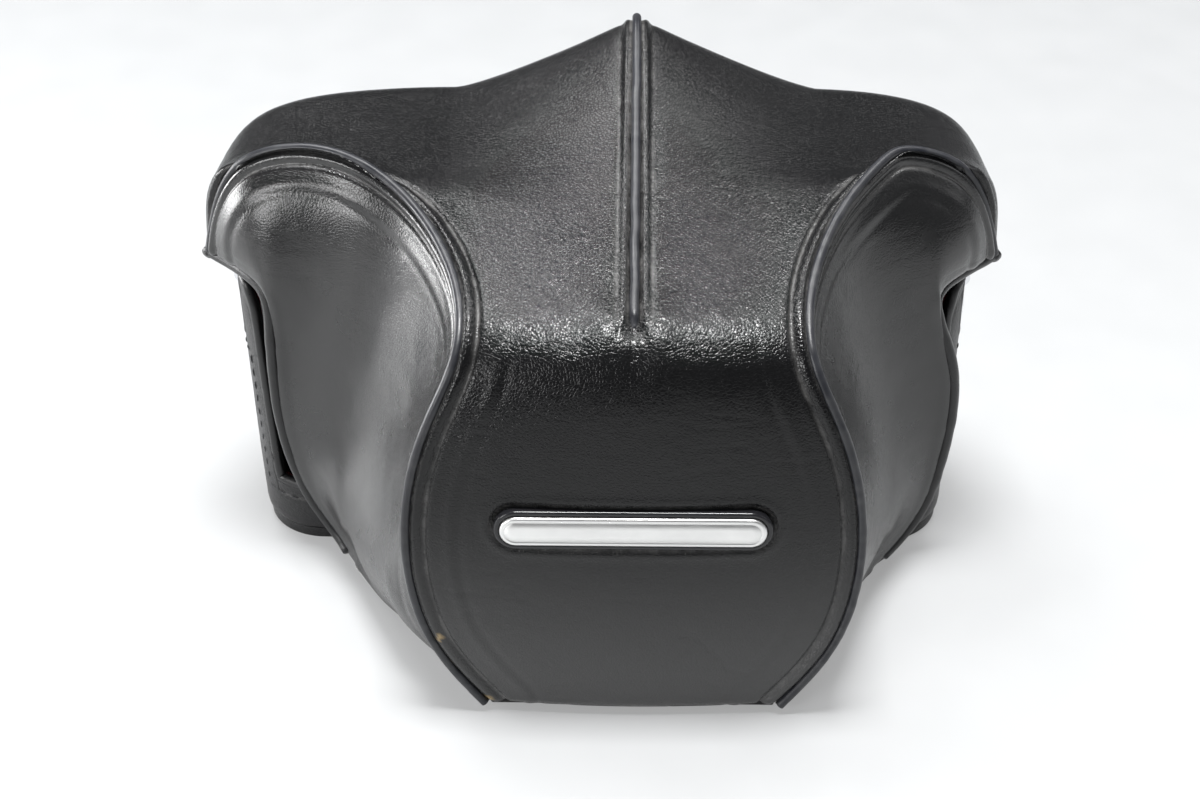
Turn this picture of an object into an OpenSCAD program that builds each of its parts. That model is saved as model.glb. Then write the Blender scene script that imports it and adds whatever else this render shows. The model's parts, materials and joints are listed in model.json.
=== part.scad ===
// Single-lens reflex half-frame camera in its moulded leather ever-ready case.
// Frame: X to the right of the lens as seen from the front, -Y out of the lens, +Z up.
// The origin is the mouth of the tripod socket, on the lens axis plane, at the base.

/* [Case] */
// Reach of the case from the lens axis to its left end
reach_left = 79; // [76:1:84]
// Reach of the case from the lens axis to its right end
reach_right = 66; // [63:1:70]
// Thickness of the moulded leather
leather_t = 2.2; // [1.6:0.1:2.6]
// Thickness of the velvet lining
lining_t = 0.6; // [0.4:0.1:0.8]
// Radius of the piping sewn into the seams
piping_r = 1.1; // [0.8:0.1:1.4]
// Half width of the nose where the seams come closest
nose_neck = 28.2; // [27:0.2:30]
// Half width of the bottom edge of the nose front
nose_foot = 26; // [24:1:28]

/* [Half case] */
// Thickness of the half case wall
wall_t = 1.9; // [1.6:0.1:2.1]
// Outer radius of the half case corners in plan
corner_r = 13; // [10:1:15]
// Height of the half case back wall
back_h = 70.6; // [66:0.2:70.8]
// Height of the front lip of the half case
lip_h = 13; // [10:1:16]

/* [Camera] */
// Depth of the camera body without the lens
body_d = 30.4; // [29:0.2:31]
// Height of the camera body up to the top plate
body_h = 64.5; // [63:0.5:65]
// Height of the lens axis above the camera base
axis_h = 31.5; // [31:0.5:32]
// Outer radius of the focusing ring
ring_r = 30; // [28:0.5:30.5]
// Width of the half frame film gate
gate_w = 18; // [17:1:18]
// Height of the half frame film gate
gate_h = 24; // [23:1:24]

/* [Hidden] */
$fn = 64;
side_reach = [reach_left, reach_right];
side_sign = [-1, 1];
run = 0.08;          // radial running clearance of turning parts
smooth_n = 5;        // squareness of the top panel at its ends

// ---------- curves and sheets ----------

// Uniform cubic B-spline through its end points, t from 0 to len(p)-1
function bs_at(p, i) = i < 0 ? 2*p[0] - p[1]
                     : i > len(p) - 1 ? 2*p[len(p) - 1] - p[len(p) - 2] : p[i];
function bs(p, t) =
    let (i = min(floor(t), len(p) - 2), f = t - i)
    (bs_at(p, i - 1)*pow(1 - f, 3) + bs_at(p, i)*(3*pow(f, 3) - 6*f*f + 4)
     + bs_at(p, i + 1)*(-3*pow(f, 3) + 3*f*f + 3*f + 1) + bs_at(p, i + 2)*pow(f, 3))/6;
function mix(a, b, f) = a + (b - a)*f;
function unit(v) = v/max(norm(v), 1e-9);
function ramp(x, x0, x1) = min(max((x - x0)/(x1 - x0), 0), 1);

// Normals of a grid of points, rows by columns
function grid_normal(g, i, j) =
    let (n = len(g) - 1, m = len(g[0]) - 1,
         a = g[min(i + 1, n)][j] - g[max(i - 1, 0)][j],
         b = g[i][min(j + 1, m)] - g[i][max(j - 1, 0)])
    unit(cross(a, b));
function offset_grid(g, d) =
    [for (i = [0:len(g) - 1]) [for (j = [0:len(g[0]) - 1]) g[i][j] + d*grid_normal(g, i, j)]];

// Closed sheet between two grids of the same size
module sheet(outer, inner) {
    n = len(outer);
    m = len(outer[0]);
    pts = concat([for (r = outer) for (p = r) p], [for (r = inner) for (p = r) p]);
    k = n*m;
    function id(i, j) = i*m + j;
    faces = concat(
        [for (i = [0:n - 2]) for (j = [0:m - 2]) each
            [[id(i, j), id(i + 1, j + 1), id(i + 1, j)], [id(i, j), id(i, j + 1), id(i + 1, j + 1)]]],
        [for (i = [0:n - 2]) for (j = [0:m - 2]) each
            [[k + id(i, j), k + id(i + 1, j), k + id(i + 1, j + 1)],
             [k + id(i, j), k + id(i + 1, j + 1), k + id(i, j + 1)]]],
        [for (i = [0:n - 2]) each
            [[id(i, 0), k + id(i + 1, 0), k + id(i, 0)], [id(i, 0), id(i + 1, 0), k + id(i + 1, 0)],
             [id(i, m - 1), k + id(i + 1, m - 1), id(i + 1, m - 1)],
             [id(i, m - 1), k + id(i, m - 1), k + id(i + 1, m - 1)]]],
        [for (j = [0:m - 2]) each
            [[id(0, j), k + id(0, j + 1), id(0, j + 1)], [id(0, j), k + id(0, j), k + id(0, j + 1)],
             [id(n - 1, j), k + id(n - 1, j + 1), k + id(n - 1, j)],
             [id(n - 1, j), id(n - 1, j + 1), k + id(n - 1, j + 1)]]]);
    polyhedron(pts, faces, convexity = 10);
}

// Round cord swept along a list of points
module cord(path, r, sides = 8) {
    n = len(path);
    rings = [for (i = [0:n - 1])
        let (t = unit(path[min(i + 1, n - 1)] - path[max(i - 1, 0)]),
             u = unit(cross(t, abs(t[0]) < 0.9 ? [1, 0, 0] : [0, 1, 0])), v = cross(t, u))
        for (k = [0:sides - 1]) path[i] + r*(cos(360*k/sides)*u + sin(360*k/sides)*v)];
    polyhedron(concat(rings, [path[0], path[n - 1]]), concat(
        [for (i = [0:n - 2]) for (k = [0:sides - 1]) let (l = (k + 1)%sides) each
            [[i*sides + k, (i + 1)*sides + l, i*sides + l],
             [i*sides + k, (i + 1)*sides + k, (i + 1)*sides + l]]],
        [for (k = [0:sides - 1]) [n*sides, k, (k + 1)%sides]],
        [for (k = [0:sides - 1]) [n*sides + 1, (n - 1)*sides + (k + 1)%sides, (n - 1)*sides + k]]),
        convexity = 10);
}

// ---------- outline of the cover ----------

function neck(xe, f) = nose_neck + (xe - nose_neck)*f;
// Free lower edge, from the back corner to the tip above the strap lug
function free_edge(xe) = [[xe - 5, 5, 63.5], [xe - 3.6, 1, 61.6], [xe - 2, -2.5, 60.7],
                          [xe - 0.8, -5.5, 60.2], [xe, -8, 60]];
// Seam, from the tip over the shoulder, in to the neck and down the edge of the nose
function seam(xe) = [[xe, -8, 60], [xe - 3, -8.5, 72], [xe - 8.5, -10, 81.5], [xe - 19.5, -11.5, 85],
    [neck(xe, 0.39), -15, 84.5], [neck(xe, 0.17), -26, 81], [neck(xe, 0.03), -40, 76.5],
    [28, -51, 73.5], [29, -57.5, 69], [35, -60.5, 58], [38.5, -62, 44], [38.8, -63, 29],
    [35.5, -64, 14], [nose_foot, -65, 1.2]];
// Middle line [y, z], from the back edge over the ridge and down the nose front
middle = [[21.5, 78], [22, 87.5], [20.3, 96.5], [12, 95.3], [2, 92], [-7, 88.8], [-15, 86.2],
    [-23, 83.6], [-31, 81.2], [-39, 79.2], [-47, 76.8], [-55, 74.5], [-61, 69.5], [-63.2, 58],
    [-64.5, 44], [-65.5, 29], [-66.2, 14], [-66.5, 1.2]];
// Height of the shoulders beside the ridge, along the same stations
shoulder = [71.5, 76, 81.5, 81, 81, 81, 81, 81, 80, 78.5, 76.5, 74.5, 69.5, 58, 44, 29, 14, 1.2];
// Outer edge of the side panel: notch above the lug, side of the body, bottom of the nose
function foot_x(xe, f) = nose_foot + (xe - 15 - nose_foot)*f;
side_in = [[12.6, 12.2, 11.8, 11.6, 12.3, 14.2, 17.2, 21.6], [12.8, 10, 7, 6.4, 7, 8.2, 10.4, 15]];
function side_edge(k) = let (xe = side_reach[k], d = side_in[k])
    [[xe, -8, 60], [xe - 4, -11.5, 59.9], [xe - 8.8, -16, 59.9],
    [xe - d[0], -19.8, 58.4], [xe - d[1], -20.5, 51], [xe - d[2], -20.5, 43],
    [xe - d[3], -20.5, 34], [xe - d[4], -20.5, 25], [xe - d[5], -20.6, 16],
    [xe - d[6], -21, 8.4], [xe - d[7], -22.5, 2.4],
    [foot_x(xe, 0.72), -31, 1.2], [foot_x(xe, 0.3), -47.5, 1.2], [nose_foot, -65, 1.2]];
// How deep the side panel is dished between its seam and its outer edge
dish = [0, -2, -3.5, -4.5, -3, 1, 4, 5.5, 5.5, 5, 4, 2.5, 1, 0];
edge_rows = len(free_edge(60)) - 1;
last_row = len(middle) - 1;

// Boundary of the centre panel at row t
function rim(xe, t) = t < edge_rows ? bs(free_edge(xe), t) : bs(seam(xe), t - edge_rows);
// How square a row is: boxy over the shoulders, softly crowned down the nose
function squareness(t) = mix(smooth_n, 2.2, ramp(t, 8, 14));
function centre_point(xe, t, a) =
    let (s = rim(xe, t), m = bs(middle, t), z0 = bs(shoulder, t), n = squareness(t),
         drop = pow(max(1 - pow(a, n), 0), 1/n),
         x = s[0]*a,
         ridge = pow(max(1 - x/34, 0), 1.25),
         y_box = s[1] + (m[0] - s[1])*drop,
         y_bow = s[1] + (m[0] - s[1])*(1 - a*a))
    [x, mix(y_box, y_bow, ramp(t, 3, 6)), s[2] + (z0 - s[2])*drop + (m[1] - z0)*ridge];
function mirrored(p, s) = [p[0]*s, p[1], p[2]];
function centre_row(t, cols, a1) = concat(
    [for (j = [cols:-1:1]) mirrored(centre_point(reach_left, t, a1 - a1*pow(1 - j/cols, 2)), -1)],
    [for (j = [0:cols]) centre_point(reach_right, t, a1 - a1*pow(1 - j/cols, 2))]);
function centre_grid(t0, t1, step, cols, a1 = 1) = [for (t = [t0:step:t1]) centre_row(t, cols, a1)];
function side_point(k, t, u) =
    let (s = bs(seam(side_reach[k]), t), e = bs(side_edge(k), t), d = bs(dish, t))
    mirrored(mix(s, e, u) + 4*u*(1 - u)*d*[-0.5, 0.85, 0], side_sign[k]);
function side_grid(k, t0, t1, step, cols, u0 = 0, u1 = 1) =
    [for (t = [t0:step:t1]) [for (j = [0:cols])
        side_point(k, t, mix(u0, u1, k == 0 ? 1 - j/cols : j/cols))]];

// ---------- shared solids ----------

// Block with rounded corners in plan
module rounded_block(x0, x1, y0, y1, z0, z1, r) {
    translate([0, 0, z0]) linear_extrude(z1 - z0) union() {
        translate([x0 + r, y0]) square([x1 - x0 - 2*r, y1 - y0]);
        translate([x0, y0 + r]) square([x1 - x0, y1 - y0 - 2*r]);
        for (x = [x0 + r, x1 - r]) for (y = [y0 + r, y1 - r]) translate([x, y]) circle(r);
    }
}
// Cylinder along -Y, from y0 forward to y1, on the lens axis unless moved
module barrel(r, y0, y1, x = 0, z = lens_z) {
    translate([x, y0, z]) rotate([90, 0, 0]) cylinder(h = y0 - y1, r = r);
}
module tube(r_out, r_in, y0, y1, x = 0, z = lens_z) {
    difference() {
        barrel(r_out, y0, y1, x, z);
        barrel(r_in, y0 + 1, y1 - 1, x, z);
    }
}
module post(x, y, z0, z1, r) {
    translate([x, y, z0]) cylinder(h = z1 - z0, r = r);
}
module profile_x(x0, x1, points) {
    translate([x0, 0, 0]) rotate([90, 0, 90]) linear_extrude(x1 - x0) polygon(points);
}

// ---------- sizes derived from the driving dimensions ----------

cam_z = 6;                            // camera base above the table
end_r = 11;                           // rounded ends of the camera body in plan
hide_t = 0.6;                         // covering of the camera body
top_z = cam_z + body_h;
lens_z = cam_z + axis_h;
body_y = body_d/2;
body_x0 = -(reach_left - 7.4);
body_x1 = reach_right - 7.4;
shell_x0 = -(reach_left - 4.6);
shell_x1 = reach_right - 4.6;
shell_y0 = -body_y - hide_t - 0.3 - wall_t - lining_t;
shell_y1 = body_y + hide_t + 0.3 + wall_t + lining_t;
fold_y = -21.5;                       // fold line of the hinge strap
strap_x0 = -34;
strap_x1 = 26;
far_y = 60;                           // beyond every y of the part
lever_x = -52;
lever_y = -2;
button_x = -43;
button_y = -10.6;
dial_x = -34;
rewind_x = 45;
spool_x = -58;
sprocket_x = -41;
shutter_x = -11;
shutter_r = 24;
lug_z = 54;
lug_y = -4.5;
stud_z = 81.6;
screw_r = 9.5;

// ---------- cover ----------

module cover_centre_panel() {
    color("#1b1b1d") {
        g = centre_grid(0, last_row, 0.5, 12);
        sheet(g, offset_grid(g, -leather_t));
    }
}
module cover_side(k) {
    color("#1d1d1f") {
        g = side_grid(k, 0.25, 12.75, 0.5, 8);
        sheet(g, offset_grid(g, -leather_t));
    }
}
module cover_side_left() { cover_side(0); }
module cover_side_right() { cover_side(1); }
module cover_bottom_panel() {
    color("#1b1b1d") difference() {
        translate([0, 0, 0.6]) linear_extrude(leather_t) polygon([
            [-foot_x(reach_left, 0.72) + 2, -31], [-foot_x(reach_left, 0.3) + 1, -47.5],
            [-nose_foot + 1, -64], [nose_foot - 1, -64],
            [foot_x(reach_right, 0.3) - 1, -47.5], [foot_x(reach_right, 0.72) - 2, -31],
            [reach_right - side_in[1][7] - 1.6, -23.5], [-reach_left + side_in[0][7] + 1.6, -23.5]]);
        translate([strap_x0, -32, 1.1]) cube([strap_x1 - strap_x0, 20, 4]);
        rivet_row(-27.5, -1, 2);
    }
}
module cover_lining() {
    color("#3a1416") {
        g = centre_grid(5, last_row - 1, 1, 7, 0.85);
        sheet(offset_grid(g, -leather_t - 0.05), offset_grid(g, -leather_t - lining_t));
        for (k = [0, 1]) {
            s = side_grid(k, 4.5, 10.5, 1, 5, 0.2, 0.9);
            sheet(offset_grid(s, -leather_t - 0.05), offset_grid(s, -leather_t - lining_t));
        }
    }
}
module seam_piping(k) {
    color("#15161a") cord([for (t = [0.2:0.35:12.9])
        mirrored(bs(seam(side_reach[k]), t), side_sign[k])], piping_r);
}
module seam_piping_left() { seam_piping(0); }
module seam_piping_right() { seam_piping(1); }
module top_dart_piping() {
    color("#15161a") cord([for (t = [1.2:0.5:10.7]) let (m = bs(middle, t)) [0, m[0], m[1] + 0.3]],
        piping_r);
}
module edge_binding(k) {
    color("#121214") cord([for (t = [0.1:0.4:10.1])
        mirrored(bs(side_edge(k), t) + [-0.3, 0.9, 0], side_sign[k])], 1.4);
}
module edge_binding_left() { edge_binding(0); }
module edge_binding_right() { edge_binding(1); }
module stadium(r) {
    translate([-19.4, -r]) square([38.8, 2*r]);
    for (x = [-19.4, 19.4]) translate([x, 0]) circle(r);
}
module badge() {
    color("#e4e6e8") translate([0, -63.3, 41.6]) rotate([93.8, 0, 0]) difference() {
        linear_extrude(2.3) stadium(3.8);
        translate([0, 0, 1.6]) linear_extrude(2) stadium(2.2);
    }
}
module cover_snap_stud() {
    color("#2a2b2e") {
        barrel(3.3, 22.7, 19.6, 0, stud_z);
        barrel(2, 24.4, 22.7, 0, stud_z);
    }
}

// ---------- half case ----------

module half_case_shape(inset, z0, z1) {
    rounded_block(shell_x0 + inset, shell_x1 - inset, shell_y0 + inset, shell_y1 - inset, z0, z1,
        corner_r - inset);
}
// Room cut away above the side walls, the lug notches, the front lip and the eyepiece
module half_case_cut() {
    ends = [[-far_y, lip_h], [-15.4, lip_h], [-15, 18], [-14.4, 52], [-13, 56.4], [-10.6, 57],
        [-9.9, 44.1], [1.2, 44.1], [1.2, 56], [2.6, 59.6], [4.4, 60.8], [8, 62.2], [13, 65],
        [17, 67.2], [shell_y1 - 1.2, 68.2], [far_y, 69], [far_y, 100], [-far_y, 100]];
    profile_x(shell_x0 - 1, shell_x0 + 22, ends);
    profile_x(shell_x1 - 22, shell_x1 + 1, ends);
    translate([shell_x0 + 5, -far_y, lip_h]) cube([shell_x1 - shell_x0 - 10, far_y, 100]);
    translate([-17, 0, 64]) cube([34, far_y, 40]);
    barrel(30.4, -10, -30);
}
module half_case_ring(inset, t, z0) {
    difference() {
        half_case_shape(inset, z0, back_h);
        half_case_shape(inset + t, z0 - 1, back_h + 1);
        half_case_cut();
    }
}
module half_case_wall() { color("#1c1c1e") half_case_ring(0, wall_t, 2.2); }
module half_case_lining() { color("#3a1416") half_case_ring(wall_t + 0.02, lining_t - 0.05, 4.1); }
module half_case_sole() {
    color("#1a1a1c") difference() {
        half_case_shape(0.6, 0, 2.2);
        post(0, 0, -1, 3, screw_r + 0.8);
        translate([strap_x0, -30, 1.1]) cube([strap_x1 - strap_x0, 19, 4]);
        rivet_row(-13.9, 0.2, 2);
    }
}
module base_board() {
    color("#5a4632") difference() {
        half_case_shape(wall_t + 0.1, 2.2, 4);
        post(0, 0, 2, 5, 6.5);
        rivet_row(-13.9, 1, 2.6);
    }
}
module floor_pad() {
    color("#3a1416") difference() {
        half_case_shape(wall_t + lining_t + 0.2, 4.05, 5.85);
        post(0, 0, 4, 6, 9);
    }
}
module sole_grommet() {
    color("#b9bbbf") difference() {
        union() {
            post(0, 0, 2.25, 4.05, 6.45);
            post(0, 0, 4.05, 4.35, 8.8);
        }
        post(0, 0, 2, 5, 5);
    }
}
// Three rivets in a line across the hinge strap
module rivet_row(y, z0, z1) {
    for (x = [-26, -4, 18]) post(x, y, z0, z1, 2);
}
module hinge_strap_rear() {
    color("#1a1a1c") difference() {
        translate([strap_x0, fold_y + 0.15, 1.1]) cube([strap_x1 - strap_x0, 10.3, 1.1]);
        rivet_row(-13.9, 0, 3);
    }
}
module hinge_strap_front() {
    color("#1a1a1c") difference() {
        translate([strap_x0, -31.8, 1.1]) cube([strap_x1 - strap_x0, 31.8 + fold_y - 0.15, 1.1]);
        rivet_row(-27.5, 0, 3);
    }
}
module hinge_rivets_rear() { color("#a9abaf") rivet_row(-13.9, 0.2, 2.6); }
module hinge_rivets_front() { color("#a9abaf") rivet_row(-27.5, 0.2, 2.9); }
module rear_flap() {
    half = [[30, 58], [29, 66], [25.4, 72.6], [19.4, 78], [12.6, 82.8], [8.6, 85.6], [4, 87.2]];
    outline = concat(half, [for (i = [len(half) - 1:-1:0]) [-half[i][0], half[i][1]]]);
    color("#1c1c1e") difference() {
        intersection() {
            profile_x(-31, 31, [[20.3, 60.6], [22.4, 60.3], [26, 74], [26, 91], [23.8, 91],
                [23.8, 74.4]]);
            translate([0, far_y, 0]) rotate([90, 0, 0]) linear_extrude(far_y) polygon(outline);
        }
        barrel(3.1, 27, 23, 0, stud_z);
    }
}
module flap_anchor() {
    color("#1c1c1e") translate([-30, shell_y1, 46]) cube([60, leather_t, 14]);
}
module flap_snap_cap() {
    color("#26272a") {
        difference() {
            barrel(5, 27.6, 26, 0, stud_z);
            barrel(3.4, 26.6, 25, 0, stud_z);
        }
        difference() {
            barrel(4.6, 23.8, 23.2, 0, stud_z);
            barrel(3.2, 24, 23, 0, stud_z);
        }
    }
}
module case_screw() {
    color("#c2c4c8") difference() {
        union() {
            post(0, 0, 0, 2, screw_r);
            post(0, 0, 2, 4.5, 4.92);
            post(0, 0, 4.5, 5, 4.3);
            post(0, 0, 5, 5.7, 4.92);
            post(0, 0, 5.7, 10, 2.95);
        }
        post(0, 0, -1, 5, 2.55);
        for (a = [0:15:345]) rotate(a) translate([screw_r + 0.25, 0, -1])
            cylinder(h = 4, r = 0.7, $fn = 6);
        for (a = [0, 180]) rotate(a) translate([3.4, -0.8, -1]) cube([screw_r, 1.6, 1.9]);
    }
}
module screw_clip() {
    color("#9c9ea2") difference() {
        post(0, 0, 4.52, 4.98, 6.6);
        post(0, 0, 4, 6, 4.32);
        translate([0, -2.4, 4]) cube([8, 4.8, 2]);
    }
}

// ---------- strap lugs and rings ----------

lug_reach = 1.9;                      // ring hole beyond the end of the camera
module lug(k) {
    x = k == 0 ? body_x0 : body_x1;
    s = side_sign[k];
    translate([x, lug_y, lug_z]) {
        rotate([0, s*90, 0]) translate([0, 0, -3]) cylinder(h = 3.4, r = 1.2);
        difference() {
            union() {
                translate([s*1.05, 0, 0]) cube([1.7, 3, 4], center = true);
                translate([s*lug_reach, 1.5, 0]) rotate([90, 0, 0]) cylinder(h = 3, r = 1.8);
            }
            translate([s*lug_reach, 3, 0]) rotate([90, 0, 0]) cylinder(h = 6, r = 1);
        }
    }
}
module strap_lugs() { color("#c9cbd0") { lug(0); lug(1); } }
module strap_ring(k) {
    x = (k == 0 ? body_x0 : body_x1) + side_sign[k]*lug_reach;
    color("#c9cbd0") translate([x, lug_y, lug_z - 4.4]) rotate([0, 0, 90]) rotate([90, 0, 0])
        rotate_extrude() translate([4.4, 0]) circle(0.55);
}
module strap_ring_left() { strap_ring(0); }
module strap_ring_right() { strap_ring(1); }

// ---------- camera ----------

module body_block(z0, z1, inset = 0, y1 = body_y) {
    rounded_block(body_x0 + inset, body_x1 - inset, -body_y + inset, y1 - inset, z0, z1,
        end_r - inset);
}
door_z0 = cam_z + 3.7;
door_z1 = 57.8;
module camera_chassis() {
    color("#33353a") difference() {
        body_block(door_z0, door_z1);
        translate([-90, body_y - 3.2, 0]) cube([180, 10, 100]);
        post(spool_x, 0, 12, 54, 11.4);
        translate([spool_x - 11.4, 0, 12]) cube([22.8, 20, 42]);
        post(rewind_x, 0, 12, 54, 12.5);
        translate([rewind_x - 12.5, 0, 12]) cube([25, 20, 42]);
        post(sprocket_x, 6, 12, 56, 5.4);
        translate([sprocket_x - 5.4, 6, 12]) cube([10.8, 20, 44]);
        translate([-17, -20, 15]) cube([34, 27.2, 50]);
        translate([-gate_w/2, -1, lens_z - gate_h/2]) cube([gate_w, 20, gate_h]);
        difference() {
            barrel(shutter_r + 0.6, 10, 7.4, shutter_x);
            barrel(1.5, 11, 7, shutter_x);
        }
        post(spool_x, 0, 50, 60, 2.2);
        post(rewind_x, 0, 50, 60, 2.6);
        post(sprocket_x, 6, 55, 60, 1.7);
        post(lever_x, lever_y, 55.5, 60, 2.2);
        post(0, 0, 8, 12.2, 5.05);
        for (k = [0, 1]) translate([k == 0 ? body_x0 : body_x1, lug_y, lug_z])
            rotate([0, 90, 0]) translate([0, 0, -3.1]) cylinder(h = 6.2, r = 1.22);
        barrel(22.5, -10, -20);
    }
}
module body_leatherette() {
    color("#202124") difference() {
        union() {
            translate([body_x0 + end_r, -body_y - hide_t, door_z0 + 0.5])
                cube([-body_x0 - end_r - 28, hide_t, 47]);
            translate([28, -body_y - hide_t, door_z0 + 0.5])
                cube([body_x1 - end_r - 28, hide_t, 47]);
            translate([body_x0 + end_r, body_y, door_z0 + 0.5])
                cube([body_x1 - body_x0 - 2*end_r, hide_t, 47]);
        }
        barrel(31.4, -10, -30);
        barrel(3.2, -10, -30, -38, 20);
    }
}
module back_door() {
    color("#2b2d31") difference() {
        body_block(door_z0, door_z1);
        translate([-90, -40, 0]) cube([180, 40 + body_y - 3.1, 100]);
        translate([-16, 8, 20]) cube([32, 5.4, 35]);
    }
}
module pressure_plate() color("#4a4c50") {
    translate([-14, 12.15, lens_z - 15.5]) cube([28, 0.8, 31]);
    for (z = [-9, 9]) barrel(2, 13.38, 12.9, 0, lens_z + z);
}
module bottom_cover() {
    color("#2e3034") difference() {
        body_block(cam_z, door_z0 - 0.1);
        post(0, 0, 4, 12, 5.05);
    }
}
module tripod_bush() {
    color("#b8babf") difference() {
        post(0, 0, cam_z + 0.1, 12.1, 5);
        post(0, 0, 4, 10.6, 3.02);
    }
}
// Outline [y, z] of the prism housing
hump = [[-14.8, 66], [-14.8, 73.6], [-9.6, 81.6], [3, 82.6], [14.6, 77.6], [14.6, 66]];
hump_in = [[-13.2, 60], [-13.2, 73.2], [-8.8, 80], [2.6, 81], [13, 76.4], [13, 60]];
module top_cover() {
    color("#2e3034") difference() {
        union() {
            body_block(door_z1 + 0.1, top_z);
            intersection() {
                profile_x(-25, 25, hump);
                translate([0, far_y, 0]) rotate([90, 0, 0]) linear_extrude(2*far_y)
                    polygon([[-24, 66], [-24, 70.5], [-10.5, 82.6], [10.5, 82.6], [24, 70.5], [24, 66]]);
            }
        }
        body_block(57, top_z - 1.4, 1.4);
        intersection() {
            profile_x(-23, 23, hump_in);
            translate([0, far_y, 0]) rotate([90, 0, 0]) linear_extrude(2*far_y)
                polygon([[-22.4, 60], [-22.4, 69.8], [-10, 81], [10, 81], [22.4, 69.8], [22.4, 60]]);
        }
        translate([-7.6, 8, 68.4]) cube([15.2, 10, 8.2]);
        post(lever_x, lever_y, 60, 80, 2.2);
        post(rewind_x, 0, 60, 80, 2.6);
        post(dial_x, -4, 60, 80, 2.2);
        post(button_x, button_y, 60, 80, 3.2);
    }
}
module pentaprism() {
    color([0.75, 0.82, 0.86, 0.5]) intersection() {
        profile_x(-20, 20, [[-12.6, 59], [7, 59], [7, 66.5], [9.5, 69.5], [9.5, 75.6], [2, 79.4],
            [-8.2, 79], [-12.4, 72.6]]);
        translate([0, far_y, 0]) rotate([90, 0, 0]) linear_extrude(2*far_y)
            polygon([[-15, 59], [-17, 68], [-9, 79.4], [9, 79.4], [17, 68], [15, 59]]);
    }
}
module focusing_screen() {
    color([0.9, 0.93, 0.94, 0.6]) translate([-14, -12.4, 56.6]) cube([28, 19, 1.2]);
}
module mirror_box() {
    color("#1a1b1d") difference() {
        translate([-16.9, -body_y + 0.4, 15.1]) cube([33.8, body_y + 6.6, 41.3]);
        translate([-15.3, -body_y - 1, 17]) cube([30.6, body_y + 6.4, 45]);
        translate([-gate_w/2 - 1, 0, lens_z - gate_h/2 - 1]) cube([gate_w + 2, 20, gate_h + 2]);
        barrel(22.6, -10, -20);
    }
}
// Pivot of the reflex mirror, at its upper rear edge
mirror_y = 4.2;
mirror_z = 53;
mirror_l = 18.6;
module reflex_mirror() {
    color([0.8, 0.84, 0.88]) {
        translate([0, mirror_y, mirror_z]) rotate([45, 0, 0]) translate([-14, -mirror_l, -0.9])
            cube([28, mirror_l, 1.5]);
        translate([-15.1, mirror_y, mirror_z]) rotate([0, 90, 0]) cylinder(h = 30.2, r = 0.9);
    }
}
module rotary_shutter() {
    color("#8d9096") difference() {
        union() {
            difference() {
                barrel(shutter_r, 9.2, 8.6, shutter_x);
                translate([shutter_x - 30, 0, lens_z - 30]) cube([30, 20, 60]);
            }
            barrel(6, 9.2, 8.6, shutter_x);
        }
        barrel(1.6, 20, 0, shutter_x);
    }
}
module eyepiece_frame() {
    color("#17181a") difference() {
        translate([-7.4, 12.6, 68.6]) cube([14.8, 4.6, 7.8]);
        translate([-5.6, 10, 69.9]) cube([11.2, 9, 5.2]);
    }
}
module eyepiece_lens() {
    color([0.7, 0.8, 0.85, 0.4]) translate([-5.5, 13.4, 70]) cube([11, 2, 5]);
}
module lens_mount() {
    color("#c7c9cd") difference() {
        union() {
            tube(29, 22, -body_y, -22);
            tube(29.8, 22, -body_y - 0.05, -18.6);
        }
        for (a = [0:90:270]) translate([0, 0, lens_z]) rotate([0, a + 45, 0])
            translate([26.4, -21, 0]) rotate([90, 0, 0]) cylinder(h = 2, r = 1);
    }
}
module lens_barrel() {
    color("#232427") difference() {
        union() {
            barrel(26, -22.1, -26);
            barrel(21, -22.1, -47.2);
            barrel(21.4, -16.2, -22.1);
        }
        barrel(19.4, 0, -60);
    }
}
module aperture_ring() {
    color("#27282b") difference() {
        tube(28.5, 21 + run, -26.1, -32.8);
        for (a = [0:20:340]) translate([0, 0, lens_z]) rotate([0, a, 0])
            translate([29.4, -26, 0]) rotate([90, 0, 0]) cylinder(h = 8, r = 1.6);
    }
}
module focus_ring() {
    color("#1d1e20") difference() {
        tube(ring_r, 25 + run, -33.2, -46.8);
        for (a = [0:12:348]) translate([0, 0, lens_z]) rotate([0, a, 0])
            translate([ring_r + 0.7, -35, 0]) rotate([90, 0, 0]) cylinder(h = 10, r = 1.5);
    }
}
module front_barrel() {
    color("#1c1d1f") difference() {
        union() {
            tube(25, 21 + run, -34, -47.6);
            tube(27, 24.2, -47.6, -52.6);
            tube(25, 18, -47.6, -49.4);
        }
    }
}
module front_glass() {
    color([0.55, 0.5, 0.75, 0.45]) barrel(17.9, -47.8, -49.3);
}
module rear_glass() {
    color([0.55, 0.5, 0.75, 0.45]) barrel(19.3, -19, -22);
}
module iris_plate() {
    color("#0f1012") difference() {
        barrel(19.35, -33, -33.8);
        translate([0, -32, lens_z]) rotate([90, 0, 0]) cylinder(h = 4, r = 8, $fn = 6);
    }
}
module shutter_button() {
    color("#d4d6da") {
        post(button_x, button_y, 71.2, 74.4, 2.9);
        post(button_x, button_y, 65, 71.2, 1.6);
    }
}
module advance_lever() {
    color("#c4c6ca") translate([lever_x, lever_y, 0]) rotate(-45) {
        post(0, 0, top_z + 0.1, top_z + 4, 6.5);
        post(0, 0, 56, top_z + 0.1, 2.12);
        difference() {
            translate([-14, 2.2, top_z + 1]) cube([14, 4.2, 1.3]);
            post(0, 0, top_z, top_z + 3, 6);
        }
        translate([-15, 2.2, top_z + 1]) cube([1.6, 4.2, 3]);
    }
}
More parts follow.
